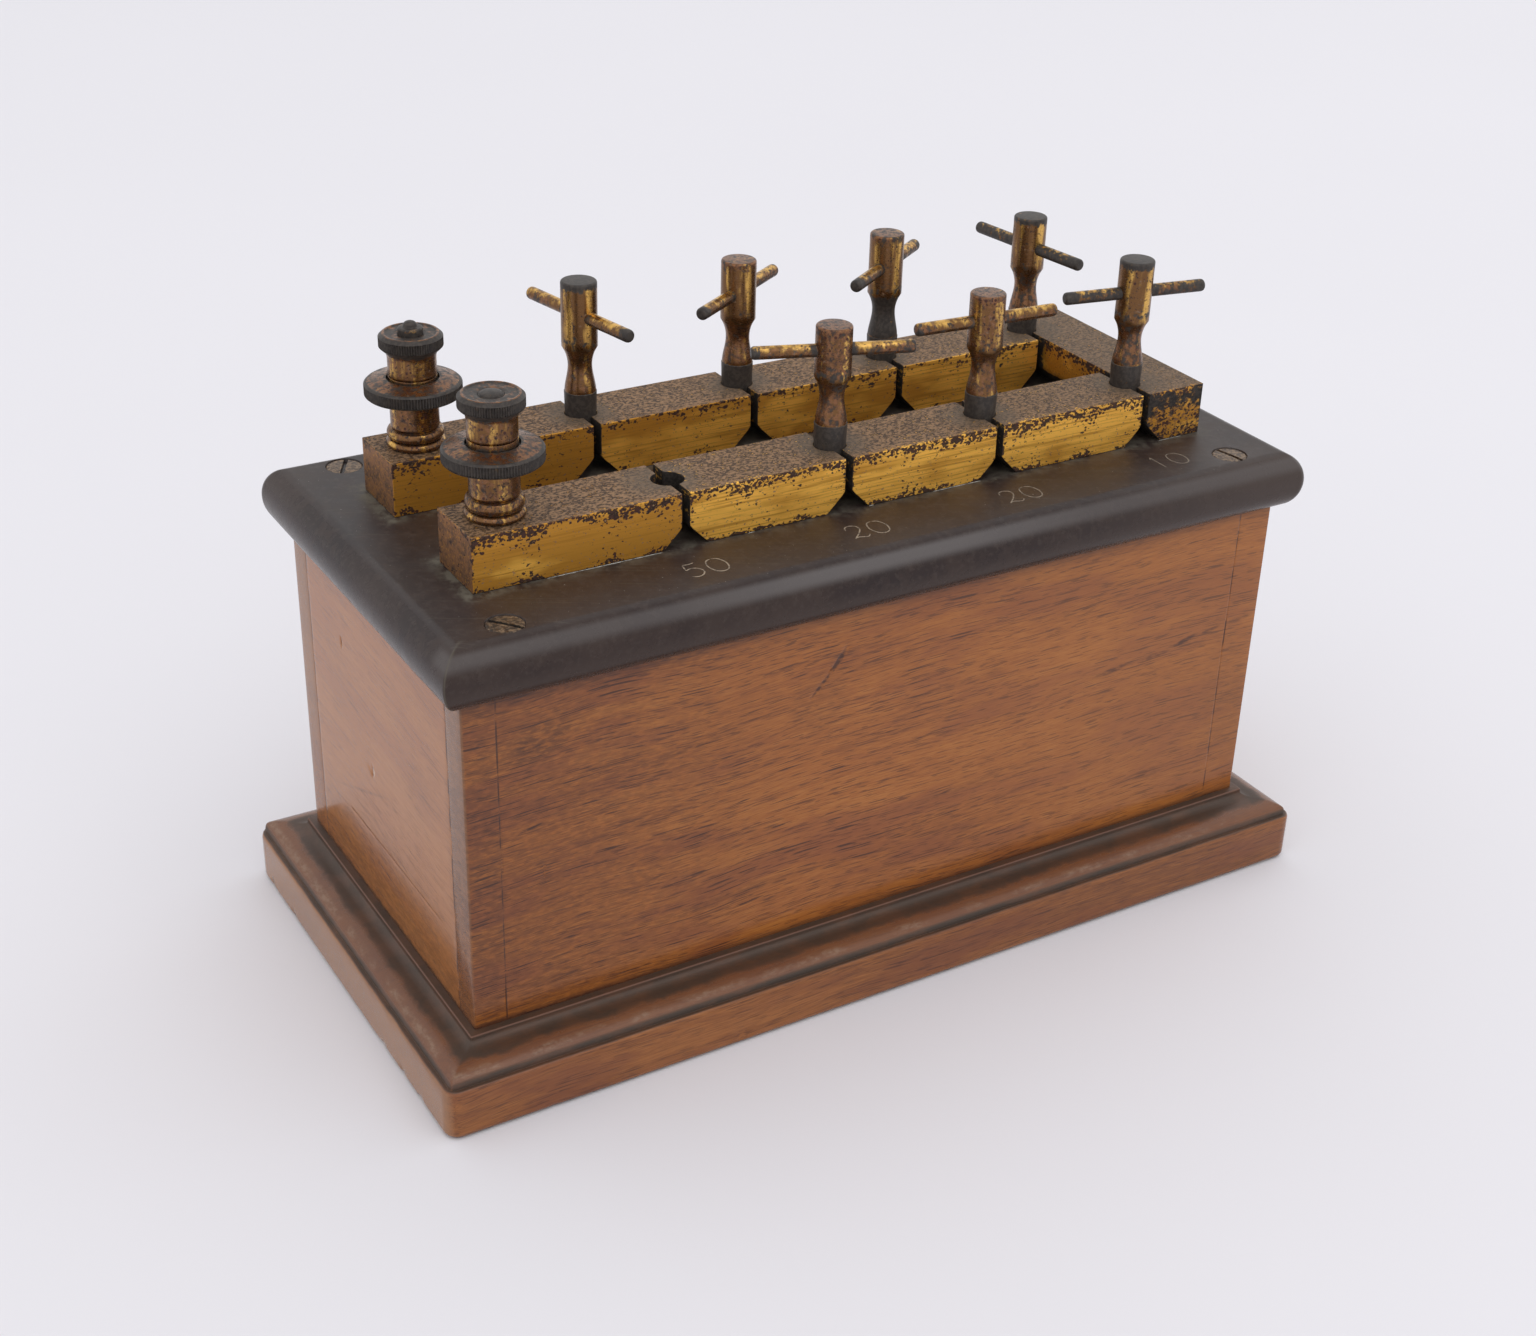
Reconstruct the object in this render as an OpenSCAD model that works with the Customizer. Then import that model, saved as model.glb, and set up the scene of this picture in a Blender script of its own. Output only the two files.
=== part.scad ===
// Plug resistance box: a moulded wooden case, an ebonite top, and two rows of brass contact blocks
// bridged at one end. Taper plugs short out the coils that hang under the gaps between the blocks.
// Origin at the middle of the plinth's underside, X along the case, Y from front to rear, Z up.

/* [Case] */
// Length of the wooden case
case_l = 196; // [190:0.5:260]
// Width of the wooden case
case_w = 88.8; // [84:0.2:140]
// Height of the case walls
wall_h = 74.2; // [60:0.2:120]
// Thickness of the case boards
wall_t = 7.5; // [6:0.1:9]

/* [Plinth] */
// How far the plinth stands out beyond the walls
plinth_out = 10.9; // [9:0.1:16]
// Height of the plinth's upright edge
plinth_edge_h = 11.6; // [8:0.1:20]
// Radius of the plinth's lower edge
foot_r = 1.4; // [0.5:0.1:3]
// Width of the flat behind the plinth's arris
quirk_w = 1.2; // [0.6:0.1:2]
// Height of the step behind that flat
quirk_h = 0.4; // [0.2:0.1:0.8]
// Height of the rounded band of the moulding
ovolo_h = 2.6; // [1.5:0.1:5]
// Width of the hollow band of the moulding
cove_w = 2.4; // [1.5:0.1:3.5]
// Height of the hollow band of the moulding
cove_h = 1.2; // [0.6:0.1:2]
// Width of the fillet at the wall's foot
fillet_w = 1.7; // [0.8:0.1:2.4]
// Height of that fillet
fillet_h = 0.8; // [0.4:0.1:1.6]

/* [Top panel] */
// Thickness of the top panel
panel_t = 12.7; // [10:0.1:18]
// How far the panel stands out beyond the walls
panel_out = 5; // [3:0.1:9]
// Depth of the panel's rounded nose
nose_d = 5; // [2.5:0.1:8]

/* [Contact blocks] */
// Width of the brass bar
bar_w = 15.9; // [14:0.1:20]
// Height of the brass bar
bar_h = 11.6; // [10:0.1:16]
// Distance between the middles of the two rows
row_spacing = 38.7; // [36:0.1:44]
// Distance of the rows' ends from the ends of the case
row_inset = 9.9; // [8:0.1:16]
// Shift of the rows towards the bridged end
row_shift = 0.8; // [-2:0.1:2]
// Length of the first block of each row
first_block_l = 44.8; // [42:0.1:50]
// What each step from gap to gap has more than an even share of the row
step_trim = [-0.4, -0.6, 1]; // [-2:0.1:2]
// Width of the gap between blocks
gap_w = 1.7; // [1:0.1:2.5]
// Width of the end bridge
bridge_w = 15.1; // [13:0.1:18]
// Chamfer at the lower ends of the blocks
end_chamfer = 4.2; // [2:0.1:5]

/* [Plugs] */
// Diameter of the plug hole at the top of the blocks
plug_hole_d = 6.8; // [6:0.05:8]
// Narrowing of the plug's diameter for each millimetre down
plug_taper = 0.05; // [0.02:0.01:0.06]
// Space between the plug's tip and the panel
plug_tip_gap = 0.9; // [0.5:0.1:3]
// Height of the plug's plain collar above the blocks
collar_h = 5; // [3:0.1:6]
// Diameter of the plug's waist
waist_d = 5.1; // [4:0.1:6]
// Height of the waist above the blocks
waist_z = 10.8; // [9:0.1:12]
// Height where the plug's head begins
head_z = 15; // [13.5:0.1:16]
// Diameter of the plug's head
head_d = 7.6; // [7:0.1:9]
// Heights of the front plugs above the blocks, at gaps 2 to 4
front_plug_h = [26, 27, 28.5]; // [24.5:0.1:32]
// Heights of the rear plugs above the blocks, at gaps 1 to 4
rear_plug_h = [29, 28, 28.6, 27.2]; // [24.5:0.1:32]
// Rounding of the plug's top edge
head_edge = 0.5; // [0.2:0.1:1]
// Diameter of the cross pin
pin_d = 2.75; // [2:0.05:3.5]
// Length of the cross pin
pin_l = 34; // [26:0.5:36]
// Rounding of the cross pin's ends
pin_end_r = 0.8; // [0.3:0.1:0.9]
// Heights of the front cross pins above the blocks, at gaps 2 to 4
front_pin_z = [20.7, 21, 21.1]; // [18.5:0.1:22]
// Heights of the rear cross pins above the blocks, at gaps 1 to 4
rear_pin_z = [21.7, 20.8, 21.2, 20.1]; // [18.5:0.1:22]
// Directions of the front cross pins, at gaps 2 to 4
front_pin_turn = [-19, -4, -10]; // [-90:1:90]
// Directions of the rear cross pins, at gaps 1 to 4
rear_pin_turn = [-79, 33, 34, -83]; // [-90:1:90]

/* [Terminals] */
// Distance of the terminals from the outer end of the first blocks
terminal_inset = 8.6; // [8:0.1:12]
// Diameter of the terminal stud
stud_d = 5; // [4:0.1:6]
// Height of the rear stud above the block
rear_stud_h = 26.2; // [25:0.1:30]
// Height of the front stud above the block
front_stud_h = 25.2; // [25:0.1:30]
// Height of the stud's domed end
stud_dome_h = 0.9; // [0.3:0.1:1.4]
// Diameter of the post's flange
flange_d = 12.1; // [10:0.1:15]
// Height of the post's flange
flange_h = 1.7; // [1:0.1:3]
// Diameter of the clamp washer
clamp_washer_d = 11.6; // [10:0.1:14]
// Height of the front clamp washer
front_clamp_washer_h = 2.75; // [1:0.05:3.5]
// Height of the rear clamp washer
rear_clamp_washer_h = 2.3; // [1:0.05:3.5]
// Diameter of the clamp nut's skirt
skirt_d = 9.9; // [8.5:0.1:11]
// Length of the clamp nut's skirt
skirt_l = 6.7; // [4:0.1:8]
// Diameter of the clamp nut's disc
disc_d = 19.7; // [16:0.1:24]
// Thickness of the clamp nut's disc
disc_t = 2.9; // [2:0.1:4]
// Diameter of the cap washer
cap_washer_d = 10.3; // [8:0.1:12]
// Height of the front cap washer
front_cap_washer_h = 1.8; // [0.6:0.1:2.4]
// Height of the rear cap washer
rear_cap_washer_h = 1.2; // [0.6:0.1:2.4]
// Diameter of the cap nut's barrel
barrel_d = 9.8; // [8:0.1:11]
// Length of the cap nut's barrel
barrel_l = 4.8; // [3:0.1:6]
// Diameter of the cap nut's head
cap_d = 12.9; // [11.5:0.1:15]
// Height of the cap nut's head
cap_h = 4.1; // [3.5:0.1:5]
// Rounding of the nuts' rims
rim_edge = 0.6; // [0.2:0.1:0.8]
// Height of the curve under the cap nut's head
cap_under_h = 1.5; // [0.8:0.1:2]

/* [Fasteners] */
// Diameter of the panel screws' heads
panel_screw_head_d = 7.7; // [6:0.1:9]
// Distance of the panel screws from the ends of the case
panel_screw_inset = 11.2; // [9:0.1:16]
// Directions of the panel screws' slots
panel_screw_turn = [-51, -80, 62, 20]; // [-90:1:90]
// Diameter of the wood screws' shanks
wood_screw_d = 3.6; // [3:0.1:4.2]
// Depth of the wood screws in the walls
wood_screw_grip = 14; // [8:0.5:20]
// Width of a screw slot
slot_w = 0.9; // [0.6:0.1:1.2]
// Depth of a screw slot
slot_d = 1; // [0.6:0.1:1.4]
// Distance of the outer base screws from the ends of the case
base_screw_inset = 30; // [20:1:60]
// Diameter of the block screws
block_screw_d = 3.2; // [2.6:0.1:4]
// Diameter of the block screws' heads
block_head_d = 6; // [5:0.1:7]
// Height of the block screws' heads
block_head_h = 2.4; // [2:0.1:3]
// Depth of the block screws in the brass
block_screw_grip = 6; // [4:0.1:7]
// Distance between the two screws of the bridge
bridge_screw_pitch = 11; // [8:0.1:14]
// Width of the post nut across its flats
post_nut_w = 8; // [7:0.1:9]
// Height of the post nut
post_nut_h = 3; // [2:0.1:5]

/* [Coils] */
// Diameter of the bobbins' flanges
bobbin_d = 16; // [14:0.1:18]
// Thickness of the bobbins' flanges
bobbin_flange_t = 2.4; // [2:0.1:4]
// Length of the bobbins
bobbin_l = 42; // [30:0.5:50]
// Diameter of the bobbins' cores
core_d = 9; // [7:0.1:10]
// Diameter of the windings
winding_d = 14; // [11:0.1:15.5]
// Diameter of the bobbin screws
bobbin_screw_d = 4; // [3:0.1:4.6]
// Diameter of the bobbin screws' heads
bobbin_head_d = 7; // [6:0.1:9]
// Height of the bobbin screws' heads
bobbin_head_h = 2.5; // [1.5:0.1:4]
// Depth of the bobbin screws in the panel
bobbin_screw_grip = 7; // [5:0.1:9]
// Diameter of the coil leads
lead_d = 0.9; // [0.5:0.1:1.6]

/* [Fits] */
// Clearance all round a pin, stud or screw
fit = 0.05; // [0.02:0.01:0.1]
// Clearance between flat faces that move apart
face_gap = 0.05; // [0.02:0.01:0.1]

/* [Hidden] */
$fn = 64;
over = 1;
arc_steps = 10;

mahogany = [0.50, 0.26, 0.12];
ebonite = [0.17, 0.15, 0.14];
brass = [0.72, 0.52, 0.20];
tarnish = [0.42, 0.28, 0.14];
boxwood = [0.78, 0.64, 0.40];
silk = [0.20, 0.38, 0.26];

// Levels from the floor up
case_z = plinth_edge_h + quirk_h + ovolo_h + cove_h + fillet_h;
panel_z = case_z + wall_h;
bar_z = panel_z + panel_t;
block_top = bar_z + bar_h;

// Places along and across the rows
front = -1;
rear = 1;
row_y = row_spacing / 2;
row_l = case_l - 2 * row_inset;
row_left = row_shift - row_l / 2;
even_step = (row_l - first_block_l - gap_w - bridge_w) / len(step_trim);
gap_1 = row_left + first_block_l + gap_w / 2;
gap_2 = gap_1 + even_step + step_trim[0];
gap_3 = gap_2 + even_step + step_trim[1];
gap_4 = gap_3 + even_step + step_trim[2];
gap_x = [gap_1, gap_2, gap_3, gap_4];
block_left = [row_left, gap_x[0] + gap_w / 2, gap_x[1] + gap_w / 2, gap_x[2] + gap_w / 2];
block_right = [for (x = gap_x) x - gap_w / 2];
bridge_left = gap_x[3] + gap_w / 2;
bridge_mid = bridge_left + bridge_w / 2;
terminal_x = row_left + terminal_inset;

// Wall middles, where the wood screws go
wall_mid_y = case_w / 2 - wall_t / 2;
wall_mid_x = case_l / 2 - wall_t / 2;
panel_screw_x = case_l / 2 - panel_screw_inset;
panel_screw_places = [
    [-panel_screw_x, -wall_mid_y], [panel_screw_x, -wall_mid_y],
    [-panel_screw_x, wall_mid_y], [panel_screw_x, wall_mid_y]
];
base_screw_x = case_l / 2 - base_screw_inset;
base_screw_places = [
    [-base_screw_x, -wall_mid_y], [base_screw_x, -wall_mid_y],
    [-base_screw_x, wall_mid_y], [base_screw_x, wall_mid_y],
    [-wall_mid_x, 0], [wall_mid_x, 0]
];
base_screw_sunk = 0.4;

// Radii of the taper plug and its hole, z counted from the top of the blocks
function hole_r(z) = (plug_hole_d + z * plug_taper) / 2;
function plug_r(z) = hole_r(z) - fit;
plug_tail_l = bar_h - plug_tip_gap;

// Heights of the terminal pieces above the block
clamp_washer_z = flange_h + face_gap;
function clamp_washer_h(side) = side == front ? front_clamp_washer_h : rear_clamp_washer_h;
function cap_washer_h(side) = side == front ? front_cap_washer_h : rear_cap_washer_h;
function clamp_nut_z(side) = clamp_washer_z + clamp_washer_h(side) + face_gap;
function cap_washer_z(side) = clamp_nut_z(side) + skirt_l + disc_t + face_gap;
function cap_nut_z(side) = cap_washer_z(side) + cap_washer_h(side) + face_gap;
stud_r = stud_d / 2;
stud_bore_r = stud_r + fit;

// Screws under the blocks, at the quarters of the room between the bobbins or the post nut
post_nut_r = post_nut_w / 2 / cos(30);
room_left = [terminal_x + post_nut_r, for (i = [0:2]) gap_x[i] + bobbin_d / 2];
room_right = [for (x = gap_x) x - bobbin_d / 2];
function room_mid(i) = (room_left[i] + room_right[i]) / 2;
function block_screw_x(i, side) = room_mid(i) + side * (room_right[i] - room_left[i]) / 4;
function bridge_screw_y(side) = side * bridge_screw_pitch / 2;
block_screw_bore_r = block_screw_d / 2 + fit;
bobbin_bore_r = bobbin_screw_d / 2 + fit;
screw_tip_gap = 0.3;
post_tail_over = 1;

// Outline of the plinth's edge from the foot up, x counted outwards from the wall
ovolo_in = fillet_w + cove_w;
ovolo_w = plinth_out - quirk_w - ovolo_in;
ovolo_z = plinth_edge_h + quirk_h;
cove_z = ovolo_z + ovolo_h;
plinth_edge = concat(
    [for (i = [0:arc_steps]) let (a = 90 * i / arc_steps)
        [plinth_out - foot_r + foot_r * sin(a), foot_r - foot_r * cos(a)]],
    [[plinth_out, plinth_edge_h], [ovolo_in + ovolo_w, plinth_edge_h]],
    [for (i = [0:arc_steps]) let (a = 90 * i / arc_steps)
        [ovolo_in + ovolo_w * cos(a), ovolo_z + ovolo_h * sin(a)]],
    [for (i = [1:arc_steps]) let (a = 90 * i / arc_steps)
        [ovolo_in - cove_w * sin(a), cove_z + cove_h * (1 - cos(a))]],
    [[fillet_w, case_z]]
);

// Outline of the panel's nose from its underside up, x counted outwards from the wall
panel_edge = [for (i = [-arc_steps:arc_steps]) let (a = 90 * i / arc_steps)
    [panel_out - nose_d + nose_d * cos(a), panel_t / 2 + panel_t / 2 * sin(a)]];

// A smooth step from 0 to 1
function ease(t) = (1 - cos(180 * t)) / 2;

// The full section of a board whose two edges have the given outline
function board_section(half, edge) = concat(
    [for (p = edge) [half + p.x, p.y]],
    [for (i = [len(edge) - 1:-1:0]) [-half - edge[i].x, edge[i].y]]
);

// A board with the same outline run round its four sides and mitred at the corners
module edged_board(l, w, edge) {
    run = 2 * (l + w);
    intersection() {
        rotate([90, 0, 90])
            linear_extrude(height = run, center = true)
                polygon(board_section(w / 2, edge));
        rotate([90, 0, 0])
            linear_extrude(height = run, center = true)
                polygon(board_section(l / 2, edge));
    }
}

// A countersunk slotted wood screw, head upwards, its top at z = 0
module wood_screw(head_d, l, turn) {
    head_h = (head_d - wood_screw_d) / 2;
    difference() {
        union() {
            translate([0, 0, -head_h]) cylinder(h = head_h, d1 = wood_screw_d, d2 = head_d);
            translate([0, 0, -l]) cylinder(h = l - head_h, d = wood_screw_d);
        }
        rotate([0, 0, turn])
            translate([-head_d, -slot_w / 2, -slot_d])
                cube([2 * head_d, slot_w, slot_d + over]);
    }
}

// The hole for that screw
module wood_screw_hole(head_d, l) {
    head_h = (head_d - wood_screw_d) / 2;
    translate([0, 0, -head_h])
        cylinder(h = head_h + over, d1 = wood_screw_d + 2 * fit, d2 = head_d + 2 * fit + 2 * over);
    translate([0, 0, -l - screw_tip_gap]) cylinder(h = l + screw_tip_gap, d = wood_screw_d + 2 * fit);
}

panel_screw_l = panel_t + wood_screw_grip;
base_screw_l = case_z - base_screw_sunk + wood_screw_grip;

module panel_screw_holes() {
    for (p = panel_screw_places)
        translate([p.x, p.y, bar_z]) wood_screw_hole(panel_screw_head_d, panel_screw_l);
}

module base_screw_holes() {
    for (p = base_screw_places)
        translate([p.x, p.y, base_screw_sunk])
            mirror([0, 0, 1]) wood_screw_hole(panel_screw_head_d, base_screw_l);
}

module plinth_board() {
    color(mahogany) difference() {
        edged_board(case_l, case_w, plinth_edge);
        base_screw_holes();
    }
}

// A long wall, side = front or rear
module long_wall(side) {
    color(mahogany) difference() {
        translate([-case_l / 2, side * wall_mid_y - wall_t / 2, case_z])
            cube([case_l, wall_t, wall_h]);
        panel_screw_holes();
        base_screw_holes();
    }
}

// An end wall between the long walls, side = -1 left or 1 right
module end_wall(side) {
    color(mahogany) difference() {
        translate([side * wall_mid_x - wall_t / 2, wall_t - case_w / 2, case_z])
            cube([wall_t, case_w - 2 * wall_t, wall_h]);
        base_screw_holes();
    }
}

module top_panel() {
    color(ebonite) difference() {
        translate([0, 0, panel_z]) edged_board(case_l, case_w, panel_edge);
        panel_screw_holes();
        block_screw_holes();
        for (side = [front, rear]) {
            translate([terminal_x, side * row_y, panel_z - over])
                cylinder(h = panel_t + 2 * over, r = stud_bore_r);
            for (x = gap_x)
                translate([x, side * row_y, panel_z - over])
                    cylinder(h = bobbin_screw_grip + screw_tip_gap + over, r = bobbin_bore_r);
        }
    }
}

module top_screws() {
    color(tarnish)
        for (i = [0:3])
            translate([panel_screw_places[i].x, panel_screw_places[i].y, bar_z])
                wood_screw(panel_screw_head_d, panel_screw_l, panel_screw_turn[i]);
}

module base_screws() {
    color(tarnish)
        for (p = base_screw_places)
            translate([p.x, p.y, base_screw_sunk])
                mirror([0, 0, 1]) wood_screw(panel_screw_head_d, base_screw_l, 0);
}

// The places of every screw under the blocks and the bridge
block_screw_places = concat(
    [for (side = [front, rear], i = [0:3], s = [-1, 1]) [block_screw_x(i, s), side * row_y]],
    [for (s = [-1, 1]) [bridge_mid, bridge_screw_y(s)]]
);

module block_screw_holes() {
    for (p = block_screw_places)
        translate([p.x, p.y, panel_z - over])
            cylinder(h = panel_t + block_screw_grip + screw_tip_gap + over, r = block_screw_bore_r);
}

module block_screws() {
    color(brass)
        for (p = block_screw_places)
            translate([p.x, p.y, panel_z]) {
                translate([0, 0, -block_head_h]) cylinder(h = block_head_h, d = block_head_d);
                cylinder(h = panel_t + block_screw_grip, d = block_screw_d);
            }
}

// The taper holes of one row
module plug_holes(side) {
    for (x = gap_x)
        translate([x, side * row_y, bar_z - over])
            cylinder(h = bar_h + 2 * over, r1 = hole_r(-bar_h - over), r2 = hole_r(over));
}

// A length of bar from x0 to x1 with chamfered lower ends where asked
module bar_length(x0, x1, w, chamfer_left, chamfer_right) {
    left_cut = chamfer_left ? end_chamfer : 0;
    right_cut = chamfer_right ? end_chamfer : 0;
    left = left_cut > 0 ? [[x0, left_cut], [x0 + left_cut, 0]] : [[x0, 0]];
    right = right_cut > 0 ? [[x1 - right_cut, 0], [x1, right_cut]] : [[x1, 0]];
    rotate([90, 0, 0])
        linear_extrude(height = w, center = true)
            polygon(concat([[x0, bar_h]], left, right, [[x1, bar_h]]));
}

// Block number i of a row, counted from the terminals
module contact_block(side, i) {
    color(brass) difference() {
        translate([0, side * row_y, bar_z])
            bar_length(block_left[i - 1], block_right[i - 1], bar_w, i > 1, true);
        plug_holes(side);
        block_screw_holes();
        if (i == 1)
            translate([terminal_x, side * row_y, bar_z - over])
                cylinder(h = bar_h + 2 * over, r = stud_bore_r);
    }
}

module end_bridge() {
    color(brass) difference() {
        translate([0, 0, bar_z])
            bar_length(bridge_left, bridge_left + bridge_w, row_spacing + bar_w, true, false);
        plug_holes(front);
        plug_holes(rear);
        block_screw_holes();
    }
}

// Puts a terminal piece on its axis, at a height above the block
module at_terminal(side, z) {
    translate([terminal_x, side * row_y, block_top + z]) children();
}

module terminal_post(side) {
    stud_h = side == front ? front_stud_h : rear_stud_h;
    tail_l = bar_h + panel_t + post_nut_h + post_tail_over;
    flange_r = flange_d / 2;
    dome = [for (i = [0:arc_steps]) let (a = 90 * i / arc_steps)
        [stud_r * cos(a), stud_h - stud_dome_h + stud_dome_h * sin(a)]];
    color(tarnish) at_terminal(side, 0)
        rotate_extrude()
            polygon(concat(
                [[0, -tail_l], [stud_r, -tail_l], [stud_r, 0], [flange_r - rim_edge / 2, 0]],
                [[flange_r, flange_h / 2], [flange_r - rim_edge, flange_h], [stud_r, flange_h]],
                dome
            ));
}

// A plain ring round the stud with softened rims
module stud_ring(d, h) {
    rotate_extrude()
        polygon([
            [stud_bore_r, 0], [d / 2 - rim_edge / 2, 0], [d / 2, rim_edge / 2],
            [d / 2, h - rim_edge / 2], [d / 2 - rim_edge / 2, h], [stud_bore_r, h]
        ]);
}

module clamp_washer(side) {
    color(tarnish) at_terminal(side, clamp_washer_z) stud_ring(clamp_washer_d, clamp_washer_h(side));
}

module cap_washer(side) {
    color(tarnish) at_terminal(side, cap_washer_z(side)) stud_ring(cap_washer_d, cap_washer_h(side));
}

module clamp_nut(side) {
    disc_r = disc_d / 2;
    nut_h = skirt_l + disc_t;
    color(tarnish) at_terminal(side, clamp_nut_z(side))
        rotate_extrude()
            polygon([
                [stud_bore_r, 0], [skirt_d / 2, 0], [skirt_d / 2, skirt_l],
                [disc_r - rim_edge, skirt_l], [disc_r, skirt_l + rim_edge],
                [disc_r, nut_h - rim_edge], [disc_r - rim_edge, nut_h], [stud_bore_r, nut_h]
            ]);
}

module cap_nut(side) {
    barrel_r = barrel_d / 2;
    cap_r = cap_d / 2;
    nut_h = barrel_l + cap_h;
    under = [for (i = [0:arc_steps]) let (a = 90 * i / arc_steps)
        [barrel_r + (cap_r - barrel_r) * sin(a), barrel_l + cap_under_h * (1 - cos(a))]];
    color(tarnish) at_terminal(side, cap_nut_z(side))
        rotate_extrude()
            polygon(concat(
                [[stud_bore_r, 0], [barrel_r, 0]],
                under,
                [[cap_r, nut_h - rim_edge], [cap_r - rim_edge, nut_h], [stud_bore_r, nut_h]]
            ));
}

module post_nuts() {
    color(brass)
        for (side = [front, rear])
            translate([terminal_x, side * row_y, panel_z - post_nut_h])
                difference() {
                    cylinder(h = post_nut_h, r = post_nut_r, $fn = 6);
                    translate([0, 0, -over]) cylinder(h = post_nut_h + 2 * over, r = stud_bore_r);
                }
}

// A taper plug with the height h above the blocks, its cross hole at pin_z and turned by turn
module taper_plug(h, pin_z, turn) {
    head_r = head_d / 2;
    waist_r = waist_d / 2;
    collar_r = plug_r(collar_h);
    lower_neck = [for (i = [0:arc_steps]) let (t = i / arc_steps)
        [collar_r + (waist_r - collar_r) * ease(t), collar_h + (waist_z - collar_h) * t]];
    upper_neck = [for (i = [1:arc_steps]) let (t = i / arc_steps)
        [waist_r + (head_r - waist_r) * ease(t), waist_z + (head_z - waist_z) * t]];
    color(tarnish) difference() {
        rotate_extrude()
            polygon(concat(
                [[0, -plug_tail_l], [plug_r(-plug_tail_l), -plug_tail_l]],
                lower_neck,
                upper_neck,
                [[head_r, h - head_edge], [head_r - head_edge, h], [0, h]]
            ));
        translate([0, 0, pin_z])
            rotate([0, 90, turn])
                cylinder(h = head_d + 2 * over, d = pin_d + 2 * fit, center = true);
    }
}

// A round-ended cross pin
module cross_pin(pin_z, turn) {
    pin_r = pin_d / 2;
    round_end = [for (i = [0:arc_steps]) let (a = 90 * i / arc_steps)
        [pin_r - pin_end_r + pin_end_r * cos(a), pin_l / 2 - pin_end_r + pin_end_r * sin(a)]];
    color(tarnish)
        translate([0, 0, pin_z])
            rotate([0, 90, turn])
                rotate_extrude()
                    polygon(concat(
                        [[0, pin_l / 2]],
                        [for (i = [arc_steps:-1:0]) round_end[i]],
                        [for (p = round_end) [p.x, -p.y]],
                        [[0, -pin_l / 2]]
                    ));
}

// Puts a plug or its pin in the hole of gap i
module at_gap(side, i) {
    translate([gap_x[i - 1], side * row_y, block_top]) children();
}

// Heights and directions of the plug at gap i
function plug_h(side, i) = side == front ? front_plug_h[i - 2] : rear_plug_h[i - 1];
function pin_z(side, i) = side == front ? front_pin_z[i - 2] : rear_pin_z[i - 1];
function pin_turn(side, i) = side == front ? front_pin_turn[i - 2] : rear_pin_turn[i - 1];

// The bobbins hang from the panel's underside, one below each gap
module coil_bobbins() {
    upper_flange_z = bobbin_l - bobbin_flange_t;
    color(boxwood)
        for (side = [front, rear], x = gap_x)
            translate([x, side * row_y, panel_z - bobbin_l])
                difference() {
                    union() {
                        cylinder(h = bobbin_flange_t, d = bobbin_d);
                        cylinder(h = bobbin_l, d = core_d);
                        translate([0, 0, upper_flange_z]) cylinder(h = bobbin_flange_t, d = bobbin_d);
                    }
                    translate([0, 0, -over]) cylinder(h = bobbin_l + 2 * over, r = bobbin_bore_r);
                }
}

module coil_winding(side, i) {
    winding_l = bobbin_l - 2 * bobbin_flange_t - 2 * face_gap;
    color(silk)
        translate([gap_x[i - 1], side * row_y, panel_z - bobbin_l + bobbin_flange_t + face_gap])
            difference() {
                cylinder(h = winding_l, d = winding_d);
                translate([0, 0, -over]) cylinder(h = winding_l + 2 * over, d = core_d + 2 * fit);
            }
}

module bobbin_screws() {
    color(brass)
        for (side = [front, rear], x = gap_x)
            translate([x, side * row_y, panel_z - bobbin_l]) {
                translate([0, 0, -bobbin_head_h]) cylinder(h = bobbin_head_h, d = bobbin_head_d);
                cylinder(h = bobbin_l + bobbin_screw_grip, d = bobbin_screw_d);
            }
}

// A straight lead from a bobbin's rim at a to a screw head at b
module coil_lead(a, b) {
    way = b - a;
    lead_l = norm(way) - bobbin_d / 2 - block_head_d / 2 - 2 * fit;
    translate([a.x, a.y, panel_z - block_head_h / 2])
        rotate([0, 90, atan2(way.y, way.x)])
            translate([0, 0, bobbin_d / 2 + fit])
                cylinder(h = lead_l, d = lead_d);
}

module coil_leads() {
    color(silk)
        for (side = [front, rear], i = [0:3]) {
            bobbin = [gap_x[i], side * row_y];
            left_screw = [block_screw_x(i, 1), side * row_y];
            bridge_screw = [bridge_mid, bridge_screw_y(side)];
            right_screw = i < 3 ? [block_screw_x(i + 1, -1), side * row_y] : bridge_screw;
            coil_lead(bobbin, left_screw);
            coil_lead(bobbin, right_screw);
        }
}

plinth_board();
long_wall(front);  // front_wall
long_wall(rear);  // rear_wall
end_wall(-1);  // left_end_wall
end_wall(1);  // right_end_wall
top_panel();
top_screws();
base_screws();
for (i = [1:4]) {
    contact_block(front, i);
    contact_block(rear, i);
}
end_bridge();
block_screws();
terminal_post(front);  // front_terminal_post
clamp_washer(front);  // front_clamp_washer
clamp_nut(front);  // front_clamp_nut
cap_washer(front);  // front_cap_washer
cap_nut(front);  // front_cap_nut
terminal_post(rear);  // rear_terminal_post
clamp_washer(rear);  // rear_clamp_washer
clamp_nut(rear);  // rear_clamp_nut
cap_washer(rear);  // rear_cap_washer
cap_nut(rear);  // rear_cap_nut
post_nuts();
for (i = [2:4]) {
    at_gap(front, i) taper_plug(plug_h(front, i), pin_z(front, i), pin_turn(front, i));
    at_gap(front, i) cross_pin(pin_z(front, i), pin_turn(front, i));
}
for (i = [1:4]) {
    at_gap(rear, i) taper_plug(plug_h(rear, i), pin_z(rear, i), pin_turn(rear, i));
    at_gap(rear, i) cross_pin(pin_z(rear, i), pin_turn(rear, i));
}
coil_bobbins();
for (i = [1:4]) {
    coil_winding(front, i);
    coil_winding(rear, i);
}
coil_leads();
bobbin_screws();
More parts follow.
